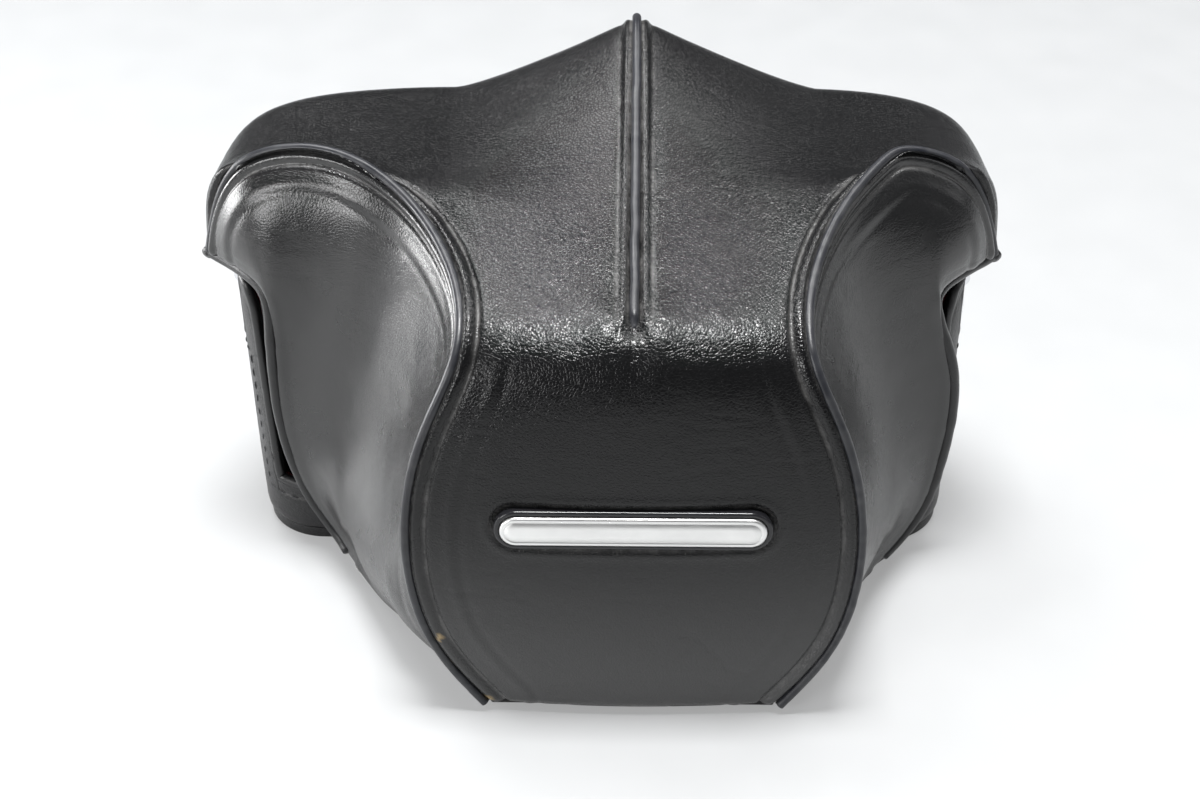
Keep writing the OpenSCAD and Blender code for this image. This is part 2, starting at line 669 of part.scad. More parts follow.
module speed_dial() {
    color("#3a3c41") difference() {
        union() {
            post(dial_x, -4, top_z + 0.1, top_z + 4.4, 7.5);
            post(dial_x, -4, 66, top_z + 0.1, 2.1);
        }
        for (a = [0:12:348]) translate([dial_x, -4, top_z + 0.6]) rotate(a) translate([7.9, 0, 0])
            cylinder(h = 5, r = 0.6, $fn = 6);
    }
}
module rewind_knob() {
    color("#c4c6ca") difference() {
        union() {
            post(rewind_x, 0, top_z + 0.1, top_z + 5, 8);
            post(rewind_x, 0, 48, top_z + 0.1, 2.5);
            translate([rewind_x - 3.4, -0.7, 45]) cube([6.8, 1.4, 3.4]);
        }
        for (a = [0:12:348]) translate([rewind_x, 0, top_z + 1]) rotate(a) translate([8.4, 0, 0])
            cylinder(h = 6, r = 0.6, $fn = 6);
    }
}
module take_up_spool() {
    color("#141416") difference() {
        union() {
            post(spool_x, 0, 14, 52, 5.5);
            post(spool_x, 0, 13, 15, 10.5);
            post(spool_x, 0, 51, 53, 10.5);
            post(spool_x, 0, 53, 57.5, 2.1);
        }
        for (a = [0:60:300]) translate([spool_x, 0, 18]) rotate(a) translate([3.4, -0.6, 0])
            cube([3, 1.2, 30]);
    }
}
module sprocket_drum() {
    color("#b8babf") {
        post(sprocket_x, 6, 12, 54, 3.8);
        post(sprocket_x, 6, 54, 57.5, 1.6);
        for (z = [20, 48]) for (a = [0:45:315]) translate([sprocket_x, 6, z]) rotate(a)
            translate([3.6, -0.5, 0]) cube([1.5, 1, 1.6]);
    }
}
module sync_socket() {
    color("#b8babf") tube(3, 1.6, -body_y - 0.02, -body_y - 0.55, -38, 20);
}
module plate_screws() {
    color("#8f9196") {
        for (x = [-20, 24]) for (y = [-10, 10]) post(x, y, cam_z - 0.1, cam_z, 1.4);
        for (x = [body_x0 + 9, body_x1 - 9]) post(x, 9, top_z, top_z + 0.3, 1.4);
    }
}

cover_centre_panel();
cover_side_left();
cover_side_right();
cover_bottom_panel();
cover_lining();
seam_piping_left();
seam_piping_right();
top_dart_piping();
edge_binding_left();
edge_binding_right();
badge();
cover_snap_stud();
half_case_wall();
half_case_sole();
half_case_lining();
base_board();
floor_pad();
sole_grommet();
hinge_strap_rear();
hinge_strap_front();
hinge_rivets_rear();
hinge_rivets_front();
rear_flap();
flap_anchor();
flap_snap_cap();
case_screw();
screw_clip();
strap_lugs();
strap_ring_left();
strap_ring_right();
camera_chassis();
body_leatherette();
back_door();
pressure_plate();
bottom_cover();
tripod_bush();
top_cover();
pentaprism();
focusing_screen();
reflex_mirror();
mirror_box();
rotary_shutter();
eyepiece_frame();
eyepiece_lens();
lens_mount();
lens_barrel();
aperture_ring();
focus_ring();
front_barrel();
front_glass();
rear_glass();
iris_plate();
shutter_button();
advance_lever();
speed_dial();
rewind_knob();
take_up_spool();
sprocket_drum();
sync_socket();
plate_screws();
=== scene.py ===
# Reflex camera in its moulded leather ever-ready case: looks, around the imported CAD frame.
import json
import math
import bmesh
import bpy
import numpy as np
from mathutils import Matrix, Vector


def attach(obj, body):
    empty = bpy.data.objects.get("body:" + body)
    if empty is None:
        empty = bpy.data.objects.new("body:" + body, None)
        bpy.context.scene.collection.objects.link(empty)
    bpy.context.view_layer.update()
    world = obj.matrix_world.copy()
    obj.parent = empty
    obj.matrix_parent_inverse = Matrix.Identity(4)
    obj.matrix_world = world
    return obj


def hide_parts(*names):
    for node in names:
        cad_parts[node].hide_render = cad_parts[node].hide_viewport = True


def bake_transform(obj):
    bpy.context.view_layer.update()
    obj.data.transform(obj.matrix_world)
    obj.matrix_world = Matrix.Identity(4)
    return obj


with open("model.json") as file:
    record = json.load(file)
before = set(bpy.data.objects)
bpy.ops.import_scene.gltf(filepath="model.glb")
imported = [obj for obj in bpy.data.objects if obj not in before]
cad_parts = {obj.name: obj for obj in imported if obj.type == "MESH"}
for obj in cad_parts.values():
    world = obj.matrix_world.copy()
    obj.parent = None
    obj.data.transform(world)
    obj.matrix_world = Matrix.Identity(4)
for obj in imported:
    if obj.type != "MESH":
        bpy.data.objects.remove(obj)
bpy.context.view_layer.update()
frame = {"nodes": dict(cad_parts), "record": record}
MM = 0.001
ROOT, COVER, FLAP = "half_case_and_camera", "front_cover", "back_flap"

# ---------------------------------------------------------------- camera
# angles in degrees, distance and target in millimetres, solved from the photograph's symmetry
CAM_AZ, CAM_EL, CAM_ROLL, CAM_DIST = 1.47, 36.25, -0.49, 346.7
CAM_TARGET = np.array([-6.33, -24.24, 38.89])
CAM_LENS = 56.59


def make_camera():
    az, el, roll = (math.radians(v) for v in (CAM_AZ, CAM_EL, CAM_ROLL))
    back = np.array([math.sin(az)*math.cos(el), -math.cos(az)*math.cos(el), math.sin(el)])
    right = np.array([math.cos(az), math.sin(az), 0.0])
    up = np.cross(back, right)
    r = right*math.cos(roll) + up*math.sin(roll)
    u = up*math.cos(roll) - right*math.sin(roll)
    cam = bpy.data.objects.new("camera", bpy.data.cameras.new("camera"))
    place = (CAM_TARGET + back*CAM_DIST)*MM
    cam.matrix_world = Matrix([[r[i], u[i], back[i], place[i]] for i in range(3)] + [[0, 0, 0, 1]])
    cam.data.lens = CAM_LENS
    cam.data.sensor_width = 36
    cam.data.clip_start, cam.data.clip_end = 0.01, 20
    bpy.context.scene.collection.objects.link(cam)
    bpy.context.scene.camera = cam


make_camera()

# ---------------------------------------------------------------- number helpers


def bs(points, t):
    """Uniform cubic B-spline through its end points."""
    p = np.asarray(points, float)
    if p.ndim == 1:
        p = p[:, None]
    q = np.vstack([2*p[0] - p[1], p, 2*p[-1] - p[-2]])
    t = np.asarray(t, float)
    i = np.clip(np.floor(t).astype(int), 0, len(p) - 2)
    f = (t - i)[..., None]
    return (q[i]*(1 - f)**3 + q[i + 1]*(3*f**3 - 6*f*f + 4)
            + q[i + 2]*(-3*f**3 + 3*f*f + 3*f + 1) + q[i + 3]*f**3)/6


def lattice(ix, iy, iz, seed):
    n = (ix*73856093) ^ (iy*19349663) ^ (iz*83492791) ^ (seed*2654435761)
    n = (n ^ (n >> 13))*1274126177
    return ((n ^ (n >> 16)) & 0xffff)/32767.5 - 1


def noise(p, seed=0):
    """Smooth value noise from -1 to 1 at points (..., 3)."""
    p = np.asarray(p, float)
    i = np.floor(p).astype(np.int64)
    f = p - i
    f = f*f*f*(f*(f*6 - 15) + 10)
    x, y, z = i[..., 0], i[..., 1], i[..., 2]
    fx, fy, fz = f[..., 0], f[..., 1], f[..., 2]
    out = 0
    for a in (0, 1):
        for b in (0, 1):
            for c in (0, 1):
                w = (fx if a else 1 - fx)*(fy if b else 1 - fy)*(fz if c else 1 - fz)
                out = out + w*lattice(x + a, y + b, z + c, seed)
    return out


def fractal(p, seed=0, octaves=3):
    p = np.asarray(p, float)
    return sum(noise(p*2**k, seed + k)/2**k for k in range(octaves))/1.75


def bump(x, centre, width):
    return np.exp(-((x - centre)/width)**2)


def smooth(x, lo, hi):
    t = np.clip((x - lo)/(hi - lo), 0, 1)
    return t*t*(3 - 2*t)


def stack(*cols):
    return np.stack(np.broadcast_arrays(*cols), -1)


def grid_normals(g):
    a = np.gradient(g, axis=0)
    b = np.gradient(g, axis=1)
    n = np.cross(a, b)
    return n/np.maximum(np.linalg.norm(n, axis=-1, keepdims=True), 1e-9)


def nearest(points, path):
    """Distance from each point to the nearest sample of a path."""
    flat = points.reshape(-1, 3)
    out = np.empty(len(flat))
    for k in range(0, len(flat), 4000):
        d = flat[k:k + 4000, None, :] - path[None]
        out[k:k + 4000] = np.sqrt((d*d).sum(-1)).min(1)
    return out.reshape(points.shape[:-1])


def along(path, step):
    """The path again, with points a fixed step apart."""
    path = np.asarray(path, float)
    s = np.r_[0, np.cumsum(np.linalg.norm(np.diff(path, axis=0), axis=1))]
    t = np.linspace(0, s[-1], max(int(s[-1]/step), 2) + 1)
    return np.stack([np.interp(t, s, path[:, k]) for k in range(3)], -1)


# ---------------------------------------------------------------- mesh helpers


def make_mesh(name, verts, faces, mat, body, attrs=None, shade=True):
    """Mesh object from millimetre vertices, with point attributes, riding on a body."""
    me = bpy.data.meshes.new(name)
    v = np.asarray(verts, float)*MM
    me.from_pydata(v.tolist(), [], [list(map(int, f)) for f in faces])
    for key, val in (attrs or {}).items():
        at = me.attributes.new(key, "FLOAT", "POINT")
        at.data.foreach_set("value", np.asarray(val, np.float32).ravel())
    if shade:
        me.polygons.foreach_set("use_smooth", [True]*len(me.polygons))
    me.materials.append(mat)
    me.update()
    ob = bpy.data.objects.new(name, me)
    bpy.context.scene.collection.objects.link(ob)
    if body:
        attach(ob, body)
    return ob


def grid_faces(n, m, closed_rows=False, closed_cols=False, base=0, flip=False):
    """Quads over a grid of n rows and m columns of vertices."""
    i = np.arange(n if closed_rows else n - 1)[:, None]
    j = np.arange(m if closed_cols else m - 1)[None]
    i2, j2 = (i + 1) % n, (j + 1) % m
    quads = np.stack(np.broadcast_arrays(i*m + j, i2*m + j, i2*m + j2, i*m + j2), -1).reshape(-1, 4)
    return (quads[:, ::-1] if flip else quads) + base


def solid_sheet(name, g, thick, mat, body, attrs=None, normals=None):
    """A sheet with outer grid g and an inner grid behind it by thick, closed round its edge."""
    n, m, _ = g.shape
    nor = grid_normals(g) if normals is None else normals
    inner = g - nor*(thick if np.isscalar(thick) else thick[..., None])
    verts = np.vstack([g.reshape(-1, 3), inner.reshape(-1, 3)])
    k = n*m
    faces = [grid_faces(n, m, flip=True), grid_faces(n, m, base=k)]
    edge = np.r_[np.arange(m - 1), np.arange(m - 1, k - 1, m), np.arange(k - 1, k - m, -1),
                 np.arange(k - m, 0, -m)]
    nxt = np.roll(edge, -1)
    faces.append(np.stack([edge, nxt, nxt + k, edge + k], -1))
    extra = {a: np.concatenate([np.ravel(v), np.ravel(v)*0]) for a, v in (attrs or {}).items()}
    f = np.vstack(faces)[:, ::-1]
    return make_mesh(name, verts, f, mat, body, extra)


def carried(t, start=(0.31, 0.17, 0.93)):
    """Side vectors carried along the tangents without twist."""
    out = np.empty_like(t)
    v = np.array(start, float)
    for i, d in enumerate(t):
        v = v - d*np.dot(v, d)
        v /= np.linalg.norm(v)
        out[i] = v
    return out


def frames(path, closed=False):
    """Unit tangents along a path."""
    p = np.asarray(path, float)
    t = (np.roll(p, -1, 0) - np.roll(p, 1, 0)) if closed else np.gradient(p, axis=0)
    return t/np.maximum(np.linalg.norm(t, axis=1, keepdims=True), 1e-9)


def tube(name, path, radius, mat, body, sides, closed=False, attrs=None):
    """Tube along a path, whose radius may vary along it."""
    p = np.asarray(path, float)
    t = frames(p, closed)
    u = carried(t)
    u /= np.linalg.norm(u, axis=1, keepdims=True)
    w = np.cross(u, t)
    r = np.broadcast_to(np.asarray(radius, float), (len(p),))
    a = np.linspace(0, 2*math.pi, sides, endpoint=False)
    ring = (p[:, None] + r[:, None, None]*(np.cos(a)[None, :, None]*u[:, None]
            + np.sin(a)[None, :, None]*w[:, None]))
    n = len(p)
    verts = ring.reshape(-1, 3)
    faces = [list(f) for f in grid_faces(n, sides, closed_rows=closed, closed_cols=True)]
    if not closed:
        tip0 = p[0] - t[0]*r[0]*0.5
        tip1 = p[-1] + t[-1]*r[-1]*0.5
        verts = np.vstack([verts, tip0, tip1])
        k = n*sides
        faces += [[j, (j + 1) % sides, k] for j in range(sides)]
        faces += [[k - sides + (j + 1) % sides, k - sides + j, k + 1] for j in range(sides)]
    ex = {key: np.concatenate([np.repeat(v, sides), [0]*(len(verts) - n*sides)])
          for key, v in (attrs or {}).items()}
    return make_mesh(name, verts, faces, mat, body, ex)


STITCH_PITCH, STITCH_LENGTH = 3.0, 2.1


def stitches(name, path, normals, mat, body, r, lift=0.05):
    """Row of thread stitches lying on a surface, each a bowed capsule that dips in at its ends."""
    p = np.asarray(path, float)
    s = np.r_[0, np.cumsum(np.linalg.norm(np.diff(p, axis=0), axis=1))]
    nn = np.broadcast_to(np.asarray(normals, float), p.shape)
    at = np.arange(STITCH_PITCH/2, s[-1] - STITCH_PITCH/2, STITCH_PITCH)
    verts, faces = [], []
    sides, steps = 7, 7
    ang = np.linspace(0, 2*math.pi, sides, endpoint=False)
    for k, c in enumerate(at):
        q = np.linspace(-0.5, 0.5, steps)
        pos = np.stack([np.interp(c + q*STITCH_LENGTH, s, p[:, a]) for a in range(3)], -1)
        nv = np.stack([np.interp(c, s, nn[:, a]) for a in range(3)], -1)
        nv /= np.linalg.norm(nv)
        t = pos[-1] - pos[0]
        t /= np.linalg.norm(t)
        side = np.cross(t, nv)
        side /= np.linalg.norm(side)
        skew = 0.12*math.sin(k*1.7)
        rad = r*np.sqrt(np.clip(1 - (2*q)**4, 0.02, 1))
        height = lift + r*0.9*(1 - (2*q)**2) - r*0.5
        mid = pos + nv*height[:, None] + side*(q*skew)[:, None]
        ring = mid[:, None] + rad[:, None, None]*(np.cos(ang)[None, :, None]*side
                                                  + np.sin(ang)[None, :, None]*nv)
        base = len(verts)
        verts += ring.reshape(-1, 3).tolist()
        faces += grid_faces(steps, sides, closed_cols=True, base=base, flip=True).tolist()
        faces += [[base + j for j in range(sides)],
                  [base + (steps - 1)*sides + j for j in range(sides)][::-1]]
    return make_mesh(name, verts, faces, mat, body)


def lathe(name, profile, centre, axis, mat, body, sides):
    """Turned solid: profile rows are (radius, height along axis)."""
    pr = np.asarray(profile, float)
    ax = np.asarray(axis, float)/np.linalg.norm(axis)
    u = np.cross(ax, [0.0, 0, 1] if abs(ax[2]) < 0.9 else [1.0, 0, 0])
    u /= np.linalg.norm(u)
    w = np.cross(ax, u)
    a = np.linspace(0, 2*math.pi, sides, endpoint=False)
    rad = pr[:, 0][:, None]*np.ones(sides)[None]
    v = (np.asarray(centre, float) + rad[..., None]*(np.cos(a)[None, :, None]*u
         + np.sin(a)[None, :, None]*w) + pr[:, 1][:, None, None]*ax)
    n = len(pr)
    faces = grid_faces(n, sides, closed_cols=True).tolist()
    if pr[0, 0] > 1e-6:
        faces.append(list(range(sides)))
    if pr[-1, 0] > 1e-6:
        faces.append([(n - 1)*sides + j for j in range(sides)][::-1])
    ob = make_mesh(name, v.reshape(-1, 3), faces, mat, body)
    fix_normals(ob)
    return ob


def fix_normals(ob):
    bm = bmesh.new()
    bm.from_mesh(ob.data)
    bmesh.ops.remove_doubles(bm, verts=bm.verts, dist=1e-7)
    bmesh.ops.recalc_face_normals(bm, faces=bm.faces)
    bm.to_mesh(ob.data)
    bm.free()


# ---------------------------------------------------------------- materials


class Nodes:
    """Small helper to wire a node material."""

    def __init__(self, name):
        self.mat = bpy.data.materials.new(name)
        self.mat.use_nodes = True
        self.t = self.mat.node_tree
        self.bsdf = self.t.nodes["Principled BSDF"]
        self.coord = self.t.nodes.new("ShaderNodeTexCoord").outputs["Object"]

    def link(self, a, b):
        self.t.links.new(a, b)

    def set(self, **values):
        for key, v in values.items():
            self.bsdf.inputs[key.replace("_", " ")].default_value = v

    def scaled(self, scale):
        m = self.t.nodes.new("ShaderNodeMapping")
        m.inputs["Scale"].default_value = scale
        self.link(self.coord, m.inputs["Vector"])
        return m.outputs["Vector"]

    def noise(self, scale, detail=3, rough=0.55, vector=None, distortion=0.0):
        n = self.t.nodes.new("ShaderNodeTexNoise")
        n.inputs["Scale"].default_value = scale
        n.inputs["Detail"].default_value = detail
        n.inputs["Roughness"].default_value = rough
        n.inputs["Distortion"].default_value = distortion
        self.link(vector or self.coord, n.inputs["Vector"])
        return n.outputs["Fac"]

    def voronoi(self, scale, feature="F1", vector=None, out="Distance", smoothness=None):
        n = self.t.nodes.new("ShaderNodeTexVoronoi")
        n.feature = feature
        n.inputs["Scale"].default_value = scale
        if smoothness is not None:
            n.inputs["Smoothness"].default_value = smoothness
        self.link(vector or self.coord, n.inputs["Vector"])
        return n.outputs[out]

    def grey(self, fac, lo_pos, lo, hi_pos, hi):
        n = self.t.nodes.new("ShaderNodeMapRange")
        n.inputs["From Min"].default_value, n.inputs["From Max"].default_value = lo_pos, hi_pos
        n.inputs["To Min"].default_value, n.inputs["To Max"].default_value = lo, hi
        self.link(fac, n.inputs["Value"])
        return n.outputs["Result"]

    def math(self, op, a, b):
        n = self.t.nodes.new("ShaderNodeMath")
        n.operation = op
        for sock, v in zip(n.inputs, (a, b)):
            if isinstance(v, (int, float)):
                sock.default_value = v
            else:
                self.link(v, sock)
        return n.outputs[0]

    def mix(self, fac, a, b, blend="MIX"):
        n = self.t.nodes.new("ShaderNodeMix")
        n.data_type = "RGBA"
        n.blend_type = blend
        for sock, v in ((n.inputs[0], fac), (n.inputs[6], a), (n.inputs[7], b)):
            if isinstance(v, (int, float)):
                sock.default_value = v
            elif isinstance(v, tuple):
                sock.default_value = (*v, 1)
            else:
                self.link(v, sock)
        return n.outputs[2]

    def attribute(self, name):
        n = self.t.nodes.new("ShaderNodeAttribute")
        n.attribute_name = name
        return n.outputs["Fac"]

    def bump(self, height, strength, distance, below=None):
        n = self.t.nodes.new("ShaderNodeBump")
        n.inputs["Strength"].default_value = strength
        n.inputs["Distance"].default_value = distance
        self.link(height, n.inputs["Height"])
        if below is not None:
            self.link(below, n.inputs["Normal"])
        return n.outputs["Normal"]

    def done(self, color=None, rough=None, normal=None, **values):
        if color is not None:
            self.link(color, self.bsdf.inputs["Base Color"])
        if rough is not None:
            self.link(rough, self.bsdf.inputs["Roughness"])
        if normal is not None:
            self.link(normal, self.bsdf.inputs["Normal"])
        self.set(**values)
        return self.mat


def leather(name, dark, light, rough, grain, depth, strength, dust=True, spec=0.5):
    """Grained leather: pebbles, pores, uneven dye, dust in the seams, polish where it is rubbed, and a
    painted floor reflection greying the lower nose front.
    """
    m = Nodes(name)
    warp = m.noise(grain*0.35, 2)
    pebble = m.voronoi(grain, "SMOOTH_F1", smoothness=0.35)
    crackle = m.voronoi(grain*0.8, "DISTANCE_TO_EDGE")
    edge = m.grey(crackle, 0.0, 0.0, 0.12, 1.0)
    height = m.math("ADD", m.math("MULTIPLY", m.math("SUBTRACT", 1.0, pebble), 0.75),
                    m.math("MULTIPLY", edge, 0.35))
    height = m.math("ADD", height, m.math("MULTIPLY", warp, 0.35))
    broad = m.noise(95, 4, 0.6)
    nor = m.bump(broad, 0.2, 0.0007)
    nor = m.bump(height, strength, depth, nor)
    tone = m.mix(m.noise(38, 4, 0.6), dark, light)
    tone = m.mix(m.grey(pebble, 0.25, 0.0, 0.75, 0.5), tone, tuple(c*0.45 for c in dark))
    r = m.grey(m.noise(70, 4, 0.65), 0.3, rough[0], 0.7, rough[1])
    if dust:
        d = m.math("MULTIPLY", m.attribute("dust"), m.grey(m.noise(420, 4, 0.7), 0.35, 0.25, 0.65, 1.0))
        tone = m.mix(d, tone, (0.22, 0.215, 0.21))
        r = m.math("ADD", r, m.math("MULTIPLY", d, 0.35))
        wear = m.attribute("wear")
        r = m.math("SUBTRACT", r, m.math("MULTIPLY", wear, 0.12))
        # painted reflection of the bright floor: grey mixed into the colour low on the nose front
        tone = m.mix(m.attribute("painted_floor_bounce"), tone, (0.2, 0.2, 0.2))
        chip = m.attribute("chip")
        tone = m.mix(chip, tone, (0.34, 0.25, 0.13))
    return m.done(tone, r, nor, Specular_IOR_Level=spec)


def cord_leather(name):
    m = Nodes(name)
    fine = m.noise(1500, 3, 0.6)
    nor = m.bump(m.noise(260, 3), 0.25, 0.0005)
    nor = m.bump(fine, 0.25, 0.00006, nor)
    tone = m.mix(m.noise(90, 3), (0.005, 0.0055, 0.008), (0.013, 0.0145, 0.021))
    tone = m.mix(m.math("MULTIPLY", m.attribute("dust"), m.noise(500, 3)), tone, (0.10, 0.10, 0.10))
    return m.done(tone, m.grey(m.noise(140, 3), 0.3, 0.28, 0.7, 0.46), nor)


def velvet(name):
    m = Nodes(name)
    pile = m.noise(2600, 2, 0.7)
    nap = m.noise(60, 4, 0.6)
    tone = m.mix(nap, (0.075, 0.006, 0.010), (0.17, 0.018, 0.026))
    tone = m.mix(m.grey(pile, 0.35, 0.0, 0.65, 0.6), (0.03, 0.003, 0.005), tone)
    nor = m.bump(m.math("ADD", pile, m.math("MULTIPLY", nap, 0.6)), 0.5, 0.0002)
    return m.done(tone, m.grey(pile, 0.3, 0.8, 0.7, 1.0), nor, Sheen_Weight=0.7, Sheen_Roughness=0.4,
                  Sheen_Tint=(0.9, 0.35, 0.38, 1), Specular_IOR_Level=0.15)


def metal(name, color, rough, brush=None, dirt=0.12):
    m = Nodes(name)
    vec = m.scaled(brush) if brush else None
    streak = m.noise(1.0 if brush else 1400, 4, 0.7, vec)
    blot = m.noise(110, 4, 0.65)
    tone = m.mix(m.grey(blot, 0.35, 0.0, 0.75, dirt), color, tuple(c*0.45 for c in color))
    r = m.math("ADD", m.grey(blot, 0.3, rough[0], 0.7, rough[1]), m.math("MULTIPLY", streak, 0.06))
    nor = m.bump(streak, 0.25, 0.00001)
    return m.done(tone, r, nor, Metallic=1.0)


def paint(name, color, rough=(0.32, 0.48), texture=1600, depth=0.00003, spec=0.5):
    m = Nodes(name)
    fine = m.noise(texture, 3, 0.6)
    blot = m.noise(75, 4, 0.65)
    tone = m.mix(blot, tuple(c*0.7 for c in color), tuple(min(c*1.5, 1) for c in color))
    nor = m.bump(fine, 0.35, depth)
    return m.done(tone, m.grey(blot, 0.3, rough[0], 0.7, rough[1]), nor, Specular_IOR_Level=spec)


def glass(name, tint, coat_tint):
    m = Nodes(name)
    blot = m.noise(45, 3)
    tone = m.mix(blot, tint, coat_tint)
    return m.done(tone, m.grey(m.noise(300, 2), 0.3, 0.01, 0.7, 0.05), None,
                  Transmission_Weight=0.55, IOR=1.6, Coat_Weight=0.6, Coat_Roughness=0.03)


def thread(name, color):
    m = Nodes(name)
    twist = m.noise(3000, 2)
    return m.done(m.mix(twist, tuple(c*0.5 for c in color), color), m.grey(twist, 0.3, 0.5, 0.7, 0.8),
                  m.bump(twist, 0.5, 0.00005))


L_COVER = leather("leather_cover", (0.0025, 0.0025, 0.0028), (0.007, 0.007, 0.0075), rough=(0.17, 0.27),
                  grain=2300, depth=0.0001, strength=0.6, spec=0.36)
L_SIDE = leather("leather_side", (0.0045, 0.0045, 0.0048), (0.0115, 0.0115, 0.012), rough=(0.2, 0.3),
                 grain=2500, depth=0.00006, strength=0.5, spec=0.8)
L_CASE = leather("leather_case", (0.005, 0.005, 0.0055), (0.013, 0.013, 0.014), rough=(0.3, 0.45),
                 grain=2400, depth=0.00009, strength=0.8, spec=0.4)
L_EDGE = leather("leather_edge", (0.004, 0.004, 0.0045), (0.013, 0.013, 0.014), rough=(0.3, 0.48),
                 grain=3600, depth=0.00004, strength=0.6)
L_CORD = cord_leather("leather_piping")
VELVET = velvet("velvet_red")
THREAD = thread("thread_black", (0.03, 0.03, 0.034))
CHROME = metal("chrome_satin", (0.80, 0.81, 0.83), (0.16, 0.30))
BADGE_FIELD = metal("badge_brushed", (0.83, 0.83, 0.82), (0.28, 0.42), brush=(60, 2500, 4000))
ENAMEL = paint("enamel_black", (0.012, 0.012, 0.014), (0.12, 0.24), depth=0.00001)
STEEL = metal("steel_turned", (0.58, 0.58, 0.60), (0.22, 0.36))
PAINT = paint("camera_paint", (0.016, 0.016, 0.018))
CASTING = paint("camera_casting", (0.022, 0.022, 0.024), (0.38, 0.55), texture=900, depth=0.00006)
HIDE = leather("camera_hide", (0.010, 0.010, 0.011), (0.024, 0.024, 0.026), rough=(0.4, 0.6), grain=700,
               depth=0.0002, strength=0.7, dust=False)
BOARD = paint("fibre_board", (0.23, 0.16, 0.10), (0.7, 0.95), texture=500, depth=0.0001, spec=0.2)
GLASS = glass("coated_glass", (0.05, 0.045, 0.085), (0.12, 0.09, 0.22))
MIRROR = metal("mirror_silver", (0.90, 0.91, 0.92), (0.02, 0.06), dirt=0.03)
ALU = metal("aluminium_satin", (0.62, 0.62, 0.64), (0.3, 0.45))
RUBBER = paint("ring_rubber", (0.014, 0.014, 0.014), (0.55, 0.75), texture=1300, depth=0.00005, spec=0.3)
PLASTIC = paint("spool_plastic", (0.012, 0.012, 0.012), (0.4, 0.55))

SLOT_MATERIAL = {
    "cover_leather": L_COVER, "piping_leather": L_CORD, "case_leather": L_CASE, "velvet": VELVET,
    "board": BOARD, "badge_chrome": CHROME, "snap_metal": ENAMEL, "screw_steel": STEEL,
    "lug_chrome": CHROME, "camera_casting": CASTING, "camera_black": PAINT, "camera_covering": HIDE,
    "optical_glass": GLASS, "mirror_silver": MIRROR, "shutter_metal": ALU, "mount_steel": STEEL,
    "lens_black": PAINT, "ring_rubber": RUBBER, "control_chrome": CHROME, "dial_black": PAINT,
    "spool_plastic": PLASTIC,
}
slot_of = {s["node"]: s["material_slot"] for s in frame["record"]["subparts"]}
for node, ob in frame["nodes"].items():
    ob.data.materials.clear()
    ob.data.materials.append(SLOT_MATERIAL[slot_of[node]])
    weld = ob.modifiers.new("weld", "WELD")
    weld.merge_threshold = 0.000002
    bev = ob.modifiers.new("bevel", "BEVEL")
    bev.width, bev.segments, bev.limit_method = 0.00022, 2, "ANGLE"
    bev.angle_limit = math.radians(38)

# ---------------------------------------------------------------- the cover's shape, as in the CAD
# side 0 is the photograph's left, side 1 its right; all in millimetres
REACH = {0: 79.0, 1: 66.0}
SIGN = {0: -1.0, 1: 1.0}
NECK, FOOT = 28.2, 26.0
LEATHER = 2.0


def neck(xe, f):
    return NECK + (xe - NECK)*f


def seam_points(xe):
    """Seam between the centre and a side panel, from the hood tip to the foot of the nose."""
    return [(xe, -8, 60), (xe - 3, -8.5, 72), (xe - 8.5, -10, 81.5), (xe - 19.5, -11.5, 85),
            (neck(xe, .39), -15, 84.5), (neck(xe, .17), -26, 81), (neck(xe, .03), -40, 76.5),
            (28, -51, 73.5), (29, -57.5, 69), (35, -60.5, 58), (38.5, -62, 44), (38.8, -63, 29),
            (35.5, -64, 14), (FOOT, -65, 1.2)]


def free_points(xe):
    """End of the hood's free edge, running into its tip."""
    return [(xe - 5, 5, 63.5), (xe - 3.6, 1, 61.6), (xe - 2, -2.5, 60.7), (xe - .8, -5.5, 60.2),
            (xe, -8, 60)]


MIDDLE = [(21.5, 78), (22, 87.5), (20.3, 96.5), (12, 95.3), (2, 92), (-7, 88.8), (-15, 86.2),
          (-23, 83.6), (-31, 81.2), (-39, 79.2), (-47, 76.8), (-55, 74.5), (-61, 69.5), (-63.2, 58),
          (-64.5, 44), (-65.5, 29), (-66.2, 14), (-66.5, 1.2)]
SHOULDER = [71.5, 76, 81.5, 81, 81, 81, 81, 81, 80, 78.5, 76.5, 74.5, 69.5, 58, 44, 29, 14, 1.2]
SIDE_IN = {0: [12.6, 12.2, 11.8, 11.6, 12.3, 14.2, 17.2, 21.6], 1: [12.8, 10, 7, 6.4, 7, 8.2, 10.4, 15]}
BADGE_HALF, BADGE_Z = 19.4, 41.6
DISH = [0, -2, -3.5, -4.5, -3, 1, 4, 5.5, 5.5, 5, 4, 2.5, 1, 0]
LAST = len(MIDDLE) - 1


def foot_x(xe, f):
    return FOOT + (xe - 15 - FOOT)*f


def side_points(k):
    """Free edge of a side panel, from the hood tip down and along the sole to the nose."""
    xe, d = REACH[k], SIDE_IN[k]
    down = [(-19.8, 58.4), (-20.5, 51), (-20.5, 43), (-20.5, 34), (-20.5, 25), (-20.6, 16), (-21, 8.4),
            (-22.5, 2.4)]
    return ([(xe, -8, 60), (xe - 4, -11.5, 59.9), (xe - 8.8, -16, 59.9)]
            + [(xe - a, y, z) for a, (y, z) in zip(d, down)]
            + [(foot_x(xe, .72), -31, 1.2), (foot_x(xe, .3), -47.5, 1.2), (FOOT, -65, 1.2)])


def flip(p, k):
    p = np.array(p, float)
    p[..., 0] *= SIGN[k]
    return p


def seam_path(k, t):
    return flip(bs(seam_points(REACH[k]), t), k)


